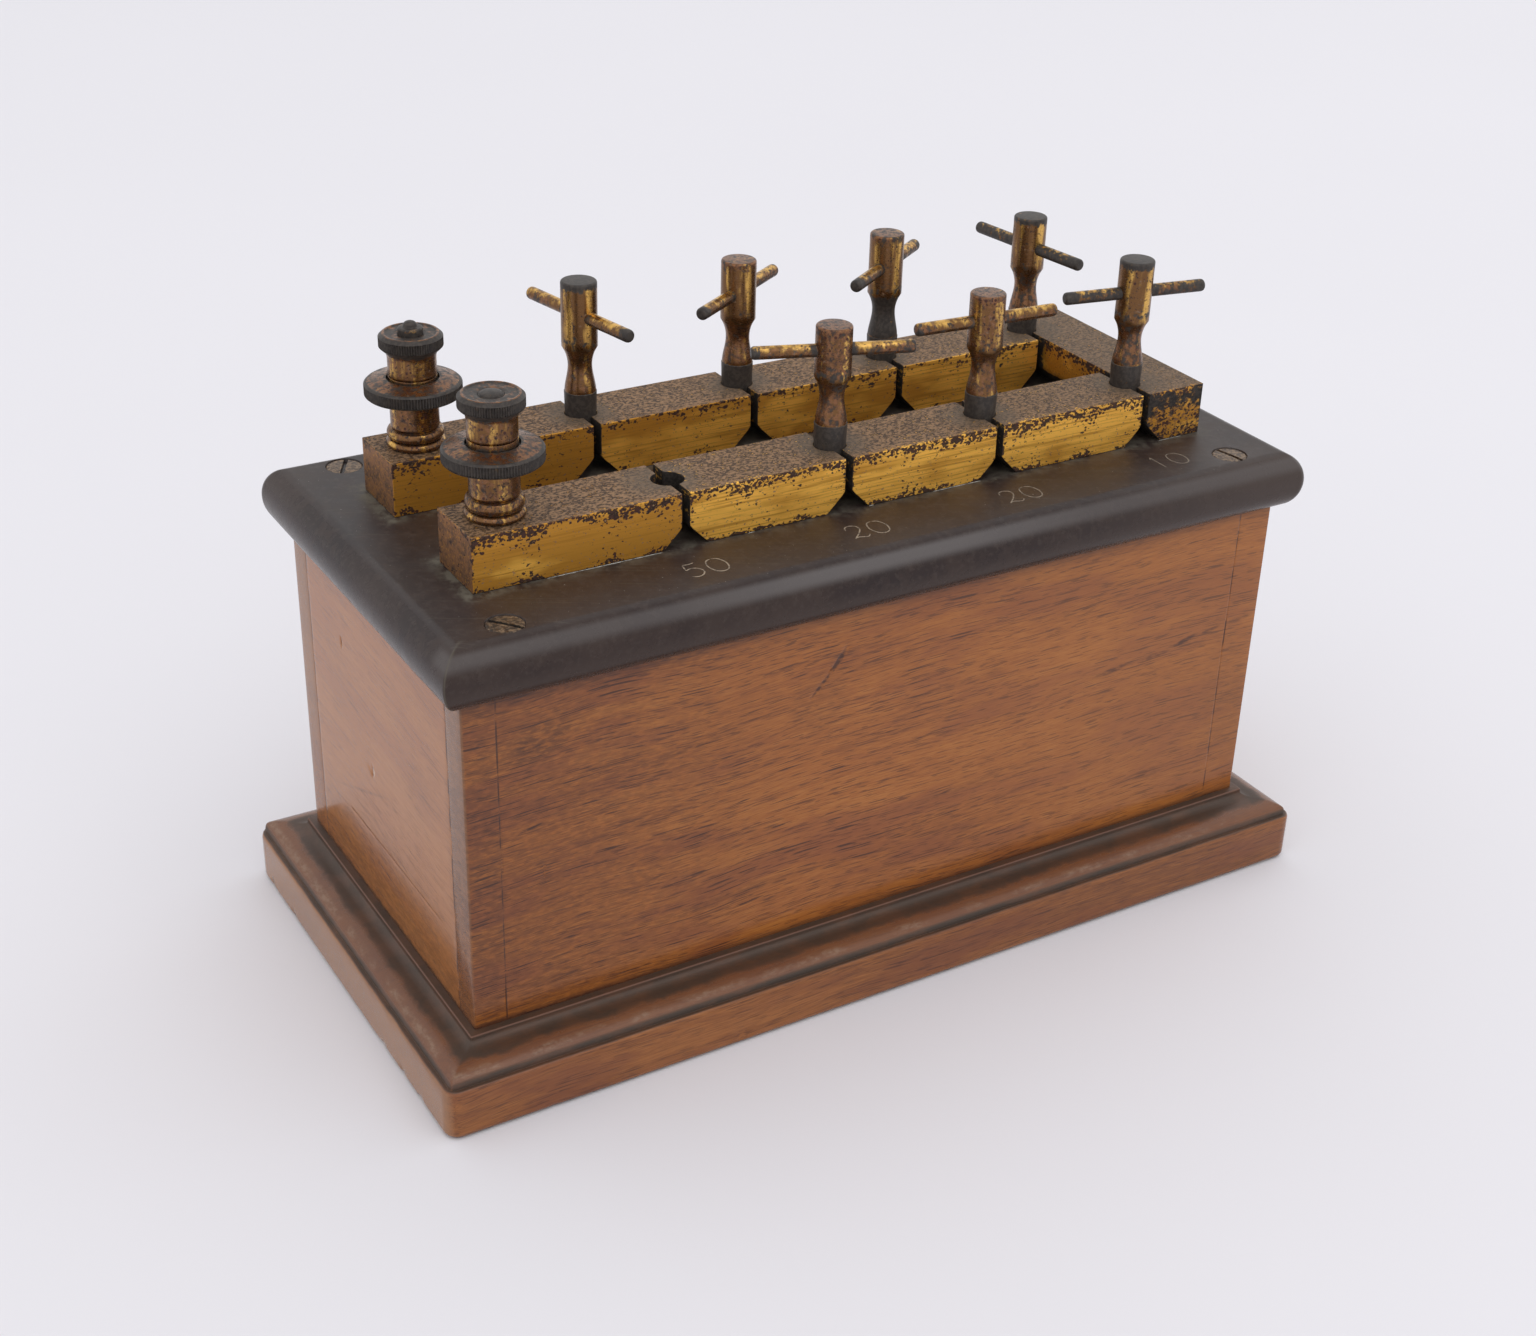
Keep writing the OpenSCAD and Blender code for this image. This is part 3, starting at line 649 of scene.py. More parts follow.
def makeWall(name, cadName, look, board, material, faceAxis, faceSide):
    # an upright ring round the board's plan; its outer face sinks by the strokes and by a slow wave
    low, high = boxOf(cadName)
    middle, half = (low + high) / 2, (high - low) / 2
    heights = stations(low[2], high[2], look["step"], *look["upDense"])
    outline = np.stack([np.zeros_like(heights), heights], -1)
    outer = cornerSigns[:, faceAxis] == faceSide
    isLong = faceAxis == 1
    radii = np.where(outer & isLong, look["outerEdge"], look["jointEdge"])
    runAxis = 1 - faceAxis
    share = innerShares(stations(low[runAxis], high[runAxis], look["step"], *board["dense"]))
    few = np.linspace(0, 1, 4)[1:-1]
    shares = (share, few) if isLong else (few, share)
    points = ringSweep(outline, half[:2], np.tile(radii, (len(heights), 1)), *shares)
    points[..., :2] += middle[:2]
    face = (high if faceSide > 0 else low)[faceAxis]
    onFace = np.clip(1 - np.abs(points[..., faceAxis] - face) / look["faceReach"], 0, 1)
    depth = strokeDepth(points[..., runAxis], points[..., 2], board["strokes"])
    depth += look["wave"] * (1 + wander(points, look["waveSize"], 11 + faceAxis)) / 2
    points[..., faceAxis] -= faceSide * onFace * depth
    patches = [patch(points, closed=True), fanCap(points[0]), fanCap(points[-1])]
    makePiece(name, patches, "box", [cadName], material)


for side, faceSide, board in (("front", -1, frontBoard), ("rear", 1, rearBoard)):
    wood = mahoganyMaterial(f"{side}Mahogany", mahogany, False, wallDarkening(walls, board, False))
    makeWall(f"{side}Board", f"{side}_wall", walls, board, wood, 1, faceSide)
for side, faceSide, board in (("left", -1, leftBoard), ("right", 1, rightBoard)):
    wood = mahoganyMaterial(f"{side}Mahogany", litSideMahogany, True, wallDarkening(walls, board, True))
    makeWall(f"{side}Board", f"{side}_end_wall", walls, board, wood, 0, faceSide)
print("walls built")

# Plinth: moulded edge carried round the case, worn arris, nicks along the foot
plinth = {
    "arris": 1.0,
    "cornerFace": 3.1,
    "cornerGrow": (1.0, 1.0, 1.2, 1.5),
    "cornerMould": 0.35,
    "wear": 0.22,
    "step": 1.3,
    "foot": 1.4,
    "fillet": (1.7, 0.8),
    "cove": (2.4, 1.2),
    "ovolo": (5.6, 2.6),
    "quirk": (1.2, 0.4),
    "underWall": -3.0,
    "screwInset": 30.0,
    "edgeReach": 9.0,  # closer steps run this far in from the walls' faces
    "wellRadius": 4.1,
    "wellDepth": 1.2,
    "bandWood": (0.142, 0.060, 0.032),
    "bandDark": (0.036, 0.027, 0.020),
    "bandEdge": (0.17, 0.075, 0.046),
    "bandRubAndHighlight": (0.27, 0.175, 0.115),
    "scuff": (0.33, 0.185, 0.104),
    "leftNicks": [(46, 0.4, 46.5, 0.9, 0.7, 0.6), (32, 0.3, 32.6, 1.2, 0.5, 0.5), (-20, 0.4, -20.8, 0.7, 0.8, 0.5),
                  (-31, 0.3, -31.5, 1.4, 0.5, 0.5), (-40, 0.4, -41, 0.8, 0.7, 0.45)],
    "nicks": [(3.8, 2.0, 7.6, 2.0, 0.5, 0.5), (-42.9, 1.2, -42.9, 3.6, 0.35, 0.4), (-86, 0.5, -86, 4, 0.2, 0.4)],
}


def plinthOutline(look, low, high, out):
    # from under the wall: fillet, step, cove, ovolo, quirk, arris, upright face and rounded foot
    top = high[2]
    filletW, filletH = look["fillet"]
    coveW, coveH = look["cove"]
    ovoloW, ovoloH = look["ovolo"]
    quirkW, quirkH = look["quirk"]
    quarter = np.linspace(0, np.pi / 2, 12)
    coveZ = top - filletH - coveH
    edge = softened([(look["underWall"], top), (filletW, top), (filletW, top - filletH)], (0, 0.3, 0))
    cove = np.stack([filletW + coveW * (1 - np.cos(quarter)), top - filletH - coveH * np.sin(quarter)], -1)
    ovolo = np.stack([filletW + coveW + ovoloW * np.sin(quarter), coveZ - ovoloH * (1 - np.cos(quarter))], -1)
    quirkZ = coveZ - ovoloH - quirkH
    step = [(out - quirkW, quirkZ + quirkH), (out - quirkW, quirkZ), (out, quirkZ), (out, quirkZ - 3)]
    arris = softened(step, (0, 0.1, look["arris"], 0))
    face = np.stack([np.full(6, out), np.linspace(quirkZ - 3, low[2] + look["foot"], 7)[1:]], -1)
    foot = look["foot"] * np.stack([np.sin(quarter) - 1, 1 - np.cos(quarter)], -1)[::-1]
    foot = foot + (out, low[2])
    flat = [(0, low[2])]
    return np.concatenate([edge, cove[1:], ovolo[1:], arris[1:], face, foot[1:], flat])


def plinthBands(look, top, out):
    # darker on the fillet, in the cove, on the upper ovolo and in the quirk; the fillet's edge is rubbed red;
    # the lower ovolo has a pale band, partly rubbed, partly painted highlight
    filletW = look["fillet"][0]
    ovoloStart = filletW + look["cove"][0]
    ovoloEnd = ovoloStart + look["ovolo"][0]

    def extra(place, parts, colour, rough):
        offset, level = place.layer("offset"), parts[2]
        broken = place.noise((12, 12, 3), 4, 0.65).smooth(0.36, 0.60).spread(0.70, 1.0)
        cloud = place.noise((10, 10, 3), 5, 0.7)
        high = level.smooth((top - 5.3) * mm, (top - 4.9) * mm)
        foot = level.smooth(1.4 * mm, 0.2 * mm)
        drift = (cloud - 0.5) * 5.0 + offset
        upper = drift.smooth(ovoloStart + 2.6, ovoloStart + 0.9) * 0.9
        quirk = offset.smooth(ovoloEnd - 0.7, ovoloEnd - 0.1) * offset.smooth(out - 0.2, out - 0.5)
        darkening = (foot * 0.4 + upper.larger(quirk) * high * broken).clamped()
        edge = abs(offset - (filletW - 0.1)).smooth(0.26, 0.06)
        edge = edge * level.smooth((top - 0.34) * mm, (top - 0.16) * mm)
        grain = place.noise((1.6, 1.6, 0.5), 3, 0.65).smooth(0.40, 0.60)
        # a pale band on the lower ovolo: partly rubbed wear, partly painted highlight
        rubAndHighlight = abs(offset - (ovoloEnd - 1.5)).smooth(1.3, 0.2) * high * cloud.smooth(0.44, 0.62)
        rubAndHighlight = rubAndHighlight * grain.spread(0.25, 1.0)
        bands = {"bandWood": high * 0.72, "bandRubAndHighlight": rubAndHighlight * 0.6, "bandDark": darkening * 0.92, "bandEdge": edge * 0.6,
                 "scuff": place.layer("scuff") * 0.55}
        for tone, share in bands.items():
            colour = blend(share, colour, look[tone])
        return colour, darkening * 0.28 + (high * 0.10 + rough)
    return extra


def makePlinth(look):
    # the outline is carried round the case; nicks and wear draw the upright face inwards; the bottom has screw wells
    low, high = boxOf("plinth_board")
    wallLow, wallHigh = boxOf("front_wall")
    half = np.array([wallHigh[0], -wallLow[1]])
    out = high[0] - half[0]
    outline = plinthOutline(look, low, high, out)
    screwLow, screwHigh = boxOf("base_screws")
    wellX, wellY = half[0] - look["screwInset"], half[1] - shared["wallHalf"]
    wells = [(x, y) for x in (-wellX, wellX) for y in (-wellY, wellY)]
    wells += [(x, 0) for x in (screwLow[0] + shared["screwHalf"], screwHigh[0] - shared["screwHalf"])]
    inner, close = half - look["edgeReach"], shared["wellStep"]
    xs = stations(-half[0], half[0], look["step"], wellSteps(-wellX), wellSteps(wellX),
                  (-half[0], -inner[0], close), (inner[0], half[0], close))
    ys = stations(-half[1], half[1], look["step"], (-half[1], -inner[1], close), wellSteps(0),
                  (inner[1], half[1], close))
    upright = ease((outline[:, 0] - (out - 2)) / 2) * (outline[:, 1] < high[2])
    corner = look["cornerMould"] * (outline[:, 0] > 0) + (look["cornerFace"] - look["cornerMould"]) * upright
    corner = corner[:, None] * np.array(look["cornerGrow"])
    points = ringSweep(outline, half, corner, innerShares(xs), innerShares(ys))
    x, y, z = np.moveaxis(points, -1, 0)
    strokes = strokeDepth(x, z, look["nicks"]) * (y < -half[1] - out + 2)
    strokes += strokeDepth(y, z, look["leftNicks"]) * (x < -half[0] - out + 2)
    wearAndHighlight = look["wear"] * np.clip(wander(points, 14, 5) + 0.3 * wander(points, 4, 6), 0, 1)
    wearAndHighlight = wearAndHighlight * bell(z - (high[2] - 5), 0.9) * (y < high[1])
    inward = (strokes + wearAndHighlight) / np.maximum(np.abs(points[..., :2]).max(-1), 1)
    points[..., :2] *= (1 - inward * upright[:, None])[..., None]
    bottom = wellFace(xs, ys, low[2], wells, look["wellRadius"], look["wellDepth"])
    wood = mahoganyMaterial("plinthMahogany", plinthMahogany, False, plinthBands(look, high[2], out))
    patches = [patch(points, closed=True), fanCap(points[0]), patch(bottom)]
    piece = makePiece("plinthMoulding", patches, "box", ["plinth_board"], wood)
    places, normals = vertexArrays(piece)
    offset = np.maximum(np.abs(places[:, 0]) - half[0], np.abs(places[:, 1]) - half[1])
    # paler tan on the upright faces at the ends of the moulding
    scuff = ease((np.abs(normals[:, 0]) - 0.55) / 0.3) * ease((high[2] - 4.6 - places[:, 2]) / 0.8)
    paint(piece, offset=offset, scuff=scuff)


makePlinth(plinth)
print("plinth built")

# Top panel: ebonite board with a half-round nose and four screw wells
panel = {
    "noseStart": 0.8,
    "noseDepth": 5.0,
    "cornerShares": (0.12, 0.55, 0.5, 0.6),
    "step": 3.0,
    "edgeReach": 1.6,
    "edgeStep": 0.4,
    "screwInset": 11.2,
    "wellRadius": 3.92,
    "wellDepth": -0.7,
    "crease": 0.2,
    "base": (0.0315, 0.0205, 0.0182),
    "warm": (0.047, 0.0315, 0.0262),
    "cool": (0.024, 0.0170, 0.0170),
    "bloom": (0.064, 0.048, 0.042),
    "dust": (0.14, 0.128, 0.096),
    "fleck": (0.45, 0.43, 0.39),
    "rough": 0.45,
    "noseRough": 0.27,
    "wearAndHighlight": (0.112, 0.100, 0.098),
    "highlightShares": (0.48, 0.92),
    "sheen": (0.19, 0.34),
}


def eboniteMaterial(look, low, high):
    # clouded and mottled black-brown with a bloom, then the nose's painted highlight and sheen, dust, scratches and
    # specks
    material, shader, place = newMaterial("eboniteTop")
    x, y, z = place.axes()
    front, top, halfway = low[1], high[2], (low[2] + high[2]) / 2
    cloud = place.noise((26, 26, 26), 4, 0.6)
    mottle = place.noise((4, 4, 4), 4, 0.65)
    bloom = place.noise((1.3, 1.3, 1.3), 3, 0.65)
    grit = place.noise((0.5, 0.5, 0.5))
    scratch = place.node("Mapping", {0: place, "Rotation": (0, 0, 0.5)}).noise((40, 0.22, 3), 1)
    colour = cloud.ramp([(0.3, look["cool"]), (0.5, look["base"]), (0.72, look["warm"])])
    colour = blend(mottle.smooth(0.46, 0.66) * 0.5, colour, look["warm"])
    colour = blend(bloom.smooth(0.50, 0.66) * 0.35, colour, look["bloom"])
    upward = z.smooth((top - 0.6) * mm, (top - 0.05) * mm)
    # the nose is paler towards the right: bloom, partly painted sheen
    bloomAndSheen = x.smooth(10 * mm, 110 * mm) * (1.0 - upward)
    colour = blend(bloomAndSheen * 0.75, colour, look["bloom"])
    # the nose is warmer at its lower edge; along the front a paler band, a painted highlight, runs high up,
    # strongest at the middle
    lower = z.smooth((halfway + 0.5) * mm, (halfway - 2.5) * mm)
    colour = blend(lower * 0.7, colour, look["warm"])
    wearAndHighlight = z.smooth((top - 4.1) * mm, (top - 2.2) * mm) * z.smooth((top - 0.4) * mm, (top - 1.3) * mm)
    wearAndHighlight = wearAndHighlight * y.smooth((front + 9) * mm, (front + 4.5) * mm)
    wearAndHighlight = wearAndHighlight * abs(x + 6 * mm).smooth(60 * mm, 10 * mm).spread(*look["highlightShares"])
    colour = blend(wearAndHighlight, colour, look["wearAndHighlight"])
    # dust gathers round the feet of the two rows of blocks
    barLow, barHigh = boxOf("front_block_1")[0], boxOf("end_bridge")[1]
    middle, reach = (barLow[0] + barHigh[0]) / 2, (barHigh[0] - barLow[0]) / 2
    awayX = abs(x - middle * mm) - reach * mm
    awayY = abs(abs(y) - shared["rowY"] * mm) - shared["barHalf"] * mm
    feet = awayX.larger(awayY).smooth(4.0 * mm, 0.2 * mm) * upward
    feet = feet * (bloom * 0.6 + mottle).smooth(0.58, 1.02)
    nearEnd = x.smooth((barLow[0] + 12) * mm, (barLow[0] - 1) * mm)
    lines = scratch.smooth(0.66, 0.74) * 0.35
    # the mitre layer is that pale line, partly wear, partly painted highlight
    marks = (lines * upward + (feet * nearEnd.spread(0.7, 1.5) + place.layer("mitre"))).clamped()
    colour = blend(marks * 0.7, colour, look["dust"])
    colour = blend(grit.smooth(0.735, 0.79) * 0.9 * upward, colour, look["fleck"])
    rough = mottle * 0.2 + upward.spread(look["noseRough"] - 0.1, look["rough"] - 0.1)
    fill(shader, {"Base Color": colour, "Roughness": marks * 0.2 + rough,
                  "Specular IOR Level": upward.spread(*look["sheen"])})
    addBump(shader, mottle - lines, 0.12, 0.1)
    return material


def makePanel(look):
    # nose: half an ellipse, its depth along the offset and half the panel's thickness along the height; the upper
    # half starts with a slight crease, a slope that is gone at the nose's front
    low, high = boxOf("top_panel")
    wallLow, wallHigh = boxOf("front_wall")
    caseHalf = np.array([wallHigh[0], -wallLow[1]])
    half = caseHalf + look["noseStart"]
    screwX, screwY = caseHalf[0] - look["screwInset"], caseHalf[1] - shared["wallHalf"]
    wells = [(x, y) for x in (-screwX, screwX) for y in (-screwY, screwY)]
    inner, close = half[0] - look["edgeReach"], look["edgeStep"]
    xs = stations(-half[0], half[0], look["step"], wellSteps(-screwX), wellSteps(screwX),
                  (-half[0], -inner, close), (inner, half[0], close))
    wellLow, _, close = wellSteps(screwY)
    ys = stations(-half[1], half[1], look["step"], (-half[1], -wellLow, close), (wellLow, half[1], close))
    halfHeight = (high[2] - low[2]) / 2
    start = math.acos(look["noseStart"] / look["noseDepth"])
    angle = np.concatenate([np.linspace(start, 0, 18), np.linspace(0, -np.pi / 2, 16)[1:]])
    offset = look["noseDepth"] * np.cos(angle) - look["noseStart"]
    creased = look["crease"] * (offset + look["noseStart"]) * (1 - np.cos(angle)) * (angle > 0)
    outline = np.stack([offset, low[2] + halfHeight * (1 + np.sin(angle)) - creased], -1)
    corner = np.clip(offset, 0, None)[:, None] * np.array(look["cornerShares"])
    points = ringSweep(outline, half, corner, innerShares(xs), innerShares(ys), turns=8)
    top = wellFace(xs, ys, high[2], wells, look["wellRadius"], look["wellDepth"])
    over = np.maximum(0, np.maximum(np.abs(top[..., 0]) - caseHalf[0], np.abs(top[..., 1]) - caseHalf[1]))
    top[..., 2] -= halfHeight * (1 - np.sqrt(1 - (over / look["noseDepth"]) ** 2))
    top[..., 2] -= look["crease"] * over * (1 - over / look["noseDepth"])
    patches = [patch(points, closed=True), patch(top), fanCap(points[-1])]
    piece = makePiece("ebonitePanel", patches, "box", ["top_panel"], eboniteMaterial(look, low, high))
    # a pale line runs over the nose at the front left corner, partly wear, partly painted highlight on the mitre
    fromCorner = vertexArrays(piece)[0][:, :2] + caseHalf
    mitre = bell(fromCorner[:, 0] - fromCorner[:, 1], 0.25) * (fromCorner < 1).all(1)
    paint(piece, mitre=0.5 * mitre)


makePanel(panel)
print("panel built")

# Brass that has aged: bright and deep metal, dark spots, coppery, dusty and sooty zones from the piece's own layers;
# the soot layer also carries painted shade, the gold layer painted reflections
barBrass = {
    "bright": (0.97, 0.540, 0.096),
    "deep": (0.57, 0.272, 0.040),
    "copper": (0.275, 0.131, 0.058),
    "copperDeep": (0.160, 0.082, 0.046),
    "spot": (0.050, 0.023, 0.023),
    "spotCore": (0.017, 0.012, 0.013),
    "pitTone": (0.060, 0.023, 0.018),
    "dustPale": (0.30, 0.178, 0.094),
    "dustDark": (0.046, 0.029, 0.022),
    "haze": (0.120, 0.093, 0.068),
    "sootPale": (0.042, 0.034, 0.029),
    "sootDark": (0.022, 0.018, 0.016),
    "brushSizes": (18, 0.50, 0.44),
    "brushTone": (0.45, 0.208, 0.030),
    "brushShare": 0.75,
    "cloudSizes": (18, 8, 6),
    "spotSizes": (2.1, 2.1, 1.4),
    "speckSizes": (0.85, 0.85, 0.66),
    "pitSizes": (1.15, 1.15, 0.95),
    "fleckSizes": (0.80, 0.55, 0.55),
    "metallic": 0.70,
    "rough": 0.48,
}
turnedBrass = dict(
    barBrass, bright=(0.72, 0.430, 0.115), deep=(0.170, 0.086, 0.036), copper=(0.225, 0.108, 0.055),
    copperDeep=(0.100, 0.056, 0.038), spot=(0.075, 0.043, 0.032), spotCore=(0.036, 0.026, 0.021),
    dustPale=(0.25, 0.165, 0.100), sootPale=(0.058, 0.048, 0.041), sootDark=(0.037, 0.031, 0.028),
    brushSizes=(30, 30, 0.25), brushTone=(0.170, 0.086, 0.036), brushShare=0.2, cloudSizes=(1.6, 1.6, 10),
    spotSizes=(1.15, 1.15, 1.3), speckSizes=(0.55, 0.55, 0.6), pitSizes=(0.8, 0.8, 0.9), fleckSizes=(0.8, 0.8, 0.9),
    metallic=0.88, rough=0.27)


def agedBrass(name, look):
    # clouded gold, brightened by the gold layer's painted reflections, then copper, spots in two sizes and pits,
    # flecked dust and soot with painted shade, each with a ragged edge
    material, shader, place = newMaterial(name)
    soot, dust, gold, copper, spotty = [place.layer(n) for n in ("soot", "dust", "gold", "copper", "spotty")]
    brush = place.noise(look["brushSizes"], 3, 0.6)
    cloud = place.noise(look["cloudSizes"], 3, 0.6)
    blots = place.noise(look["spotSizes"], 3, 0.6)
    speck = place.noise(look["speckSizes"], 1)
    fleck = place.noise(look["fleckSizes"], 2, 0.6)
    shine = (gold - 0.5) * 0.5 + cloud
    metal = blend(shine.smooth(0.36, 0.64), look["deep"], look["bright"])
    metal = blend(brush.smooth(0.46, 0.66) * look["brushShare"], metal, look["brushTone"])
    coppery = blend(blots.smooth(0.42, 0.60), look["copper"], look["copperDeep"])
    metal = blend(copper.patchy(fleck, 2.2, 0.25), metal, coppery)
    wide = (spotty * 0.62 - 0.26).patchy(blots, 3.0, 0.07)
    small = (spotty * 0.72 - 0.32).patchy(speck, 2.6, 0.08)
    blotted = wide.larger(small)
    spots = blotted.larger(place.pits(look["pitSizes"], spotty - 0.12))
    spotTone = blend(fleck.smooth(0.44, 0.58), look["spot"], look["spotCore"])
    spotTone = blend(blotted, look["pitTone"], spotTone)
    metal = blend(spots * 0.97, metal, spotTone)
    # on a dusty face the copper layer stands for a smooth haze
    dustMask = dust.patchy(fleck, 2.6, 0.2)
    dustTone = blend(fleck.smooth(0.40, 0.58), look["dustDark"], look["dustPale"])
    dustTone = blend(speck.smooth(0.55, 0.68) * 0.65, dustTone, look["dustDark"])
    dustTone = blend(copper * 0.8, dustTone, look["haze"])
    metal = blend(dustMask, metal, dustTone)
    sootMask = soot.patchy(blots, 2.2, 0.22)
    metal = blend(sootMask, metal, blend(fleck.smooth(0.40, 0.62), look["sootDark"], look["sootPale"]))
    dull = dustMask.larger(sootMask).larger(spots * 0.7)
    fill(shader, {"Base Color": metal, "Metallic": dull.spread(look["metallic"], 0.2), "Specular IOR Level": 0.3,
                  "Roughness": dull * 0.18 + (brush * 0.16 + (look["rough"] - 0.08))})
    addBump(shader, brush * 0.5 - spots * 0.6, 0.25, 0.05)
    return material


barMetal = agedBrass("barBrass", barBrass)
turnedMetal = agedBrass("turnedBrass", turnedBrass)

# Contact bars: eased edges, lower ends chamfered, half a taper hole in each end that faces a gap
bars = {
    "edge": 0.22,
    "steps": (1.2, 1.2, 0.9),
    "closeReach": ((1.2, 1.2), (2.4, 2.4), (1.6, 2.8)),  # closer steps at the low and high end along x, y and z
    "closeStep": 0.4,
    "holeStep": 0.3,
    "chamfer": 4.2,
    "holeRadius": 3.4,
    "holeTaper": 0.025,
    "gapHalf": 0.85,
    "hazy": 0.35,
    "rearSpots": 0.6,
    # how bright the metal is on each bar; the rear bars' lower values are painted shade between the rows
    "gold": {"front": (0.10, 0.78, 0.62, 0.70), "rear": (-0.15, 0.50, 0.54, 0.58)},
    "bridgeGold": 0.25,
    "bridgeSeed": 7,
}


def barEnd(y, depth, look, rowYs, height):
    # how far an open end stands back at (y, depth below the top): the chamfer or the taper hole, the deeper of them
    cut = np.maximum(0, depth - (height - look["chamfer"]))
    radius = look["holeRadius"] - look["holeTaper"] * depth
    for rowY in rowYs:
        inside = np.clip(radius ** 2 - (y - rowY) ** 2, 0, None)
        cut = np.maximum(cut, np.sqrt(inside) - look["gapHalf"])
    return cut


def makeBar(name, cadName, look, leftOpen, rightOpen, rowYs, gold, seed):
    # a rounded box whose rows along x are drawn in between its two ends, where these are cut back
    low, high = boxOf(cadName)
    notch = math.sqrt(look["holeRadius"] ** 2 - look["gapHalf"] ** 2)
    holes = [(rowY - notch, rowY + notch, look["holeStep"]) for rowY in rowYs]
    marks = []
    for axis, (first, last) in enumerate(look["closeReach"]):
        ends = [(low[axis], low[axis] + first, look["closeStep"]), (high[axis] - last, high[axis], look["closeStep"])]
        marks.append(stations(low[axis], high[axis], look["steps"][axis], *ends, *(holes if axis == 1 else [])))
    patches = roundedLattice(marks, look["edge"])
    for points, _ in patches:
        share = (points[..., 0] - low[0]) / (high[0] - low[0])
        cut = barEnd(points[..., 1], high[2] - points[..., 2], look, rowYs, high[2] - low[2])
        left, right = low[0] + leftOpen * cut, high[0] - rightOpen * cut
        points[..., 0] = left + share * (right - left)
    piece = makePiece(name, patches, "box", [cadName], barMetal, 40)
    paintBar(piece, low, high, look, leftOpen, rightOpen, rowYs, gold, seed)


def paintBar(piece, low, high, look, leftOpen, rightOpen, rowYs, gold, seed):
    # spots crowd along the edges, dust lies on the top; the holes, the gaps and the faces under the chamfers are
    # dark, partly soot, partly painted shade
    places, normals = vertexArrays(piece)
    x, y, z = places.T
    isBridge = len(rowYs) > 1
    top = ease((normals[:, 2] - 0.75) / 0.2)
    side = ease((np.abs(normals[:, 0]) - 0.5) / 0.3)
    under = ease((-normals[:, 2] - 0.3) / 0.3)
    fall, rise = high[2] - z, z - low[2]
    fromEnd = np.minimum(x - low[0], high[0] - x)
    slow = wander(places * (1, 0.3, 0.3), 17, seed)
    quick = wander(places * (1, 0.3, 0.3), 9, seed + 40)
    upper = 0.80 * bell(fall, 1.3) + 0.60 * bell(fall, 3.0) * (1 + 0.9 * slow)
    lower = bell(rise, 0.9) * (0.8 + 0.6 * quick) + 0.8 * bell(rise, 1.9) * np.clip(quick, 0, 1)
    spotty = 0.29 + 0.26 * quick + np.clip(upper, 0, 1) + np.clip(lower, 0, 1)
    spotty += 0.7 * fade(fromEnd, 0.5) * (1 - side)
    spotty *= look["rearSpots"] if min(rowYs) > 0 else 1.0
    nearFront, nearRear = y - low[1], high[1] - y
    rim = bell(nearFront, 1.4) * (0.7 + 0.4 * slow) + 0.4 * bell(nearRear, 0.9)
    nearHole, inHole, inRow = np.zeros((3, len(places)))
    for rowY in rowYs:
        inRow = np.maximum(inRow, np.abs(y - rowY) < shared["barHalf"] + 0.15)
        for holeX, isOpen in ((low[0] - look["gapHalf"], leftOpen), (high[0] + look["gapHalf"], rightOpen)):
            gap = np.hypot(x - holeX, y - rowY)
            nearHole += isOpen * ease((9.5 + 2.5 * slow - gap) / 5.0)
            inHole += isOpen * (gap < look["holeRadius"] + 0.05) * (1 - top)
    left = x < (low[0] + high[0]) / 2
    gapFace = side * np.where(left, leftOpen, rightOpen) * inRow
    plainEnd = side * (1 - gapFace) * (1 - isBridge)
    fromEdge = np.minimum(np.minimum(nearFront, nearRear), np.minimum(fall, rise))
    ending = 0.16 + 0.2 * quick + 0.6 * fade(fromEdge, 0.5)
    # the bridge has a dark band along its front and a dark outer end
    front = ease((-normals[:, 1] - 0.5) / 0.3) * isBridge
    outerEnd = side * isBridge * ~left
    band = (0.68 * bell(fall - 2.6, 2.8) + 0.5 * fade(fromEnd, 1.2)) * front
    # holes, gap faces and undersides go dark: partly soot, partly painted shade
    soot = 0.8 * np.clip(inHole, 0, 1) + 0.85 * gapFace + 1.1 * under + band
    soot += plainEnd * (0.10 + 0.3 * fade(fall, 1.2)) + 0.45 * bell(fall - 1.5, 2.2) * outerEnd
    haze = top * np.clip(nearHole + 0.3 * isBridge + look["hazy"] * ease((x - 20) / 60), 0, 1) * 0.8
    spotty = spotty * (1 - top) * (1 - plainEnd) + 0.85 * rim * top + 0.52 * front + plainEnd * ending + 0.3 * outerEnd
    copper = np.clip(0.82 * plainEnd + haze + 0.4 * front + 0.35 * outerEnd, 0, 1)
    paint(piece, dust=top * np.clip(1.08 - 0.50 * rim, 0, 1), copper=copper, gold=gold + 0.12 * slow,
          spotty=np.clip(spotty, 0, 1.1), soot=np.clip(soot, 0, 1.1))


for row, rowY in (("front", -shared["rowY"]), ("rear", shared["rowY"])):
    for number, gold in enumerate(bars["gold"][row], 1):
        makeBar(f"{row}Bar{number}", f"{row}_block_{number}", bars, number > 1, True, [rowY], gold,
                number + 10 * (rowY > 0))
makeBar("endBar", "end_bridge", bars, True, False, [-shared["rowY"], shared["rowY"]], bars["bridgeGold"],
        bars["bridgeSeed"])
print("contact bars built")

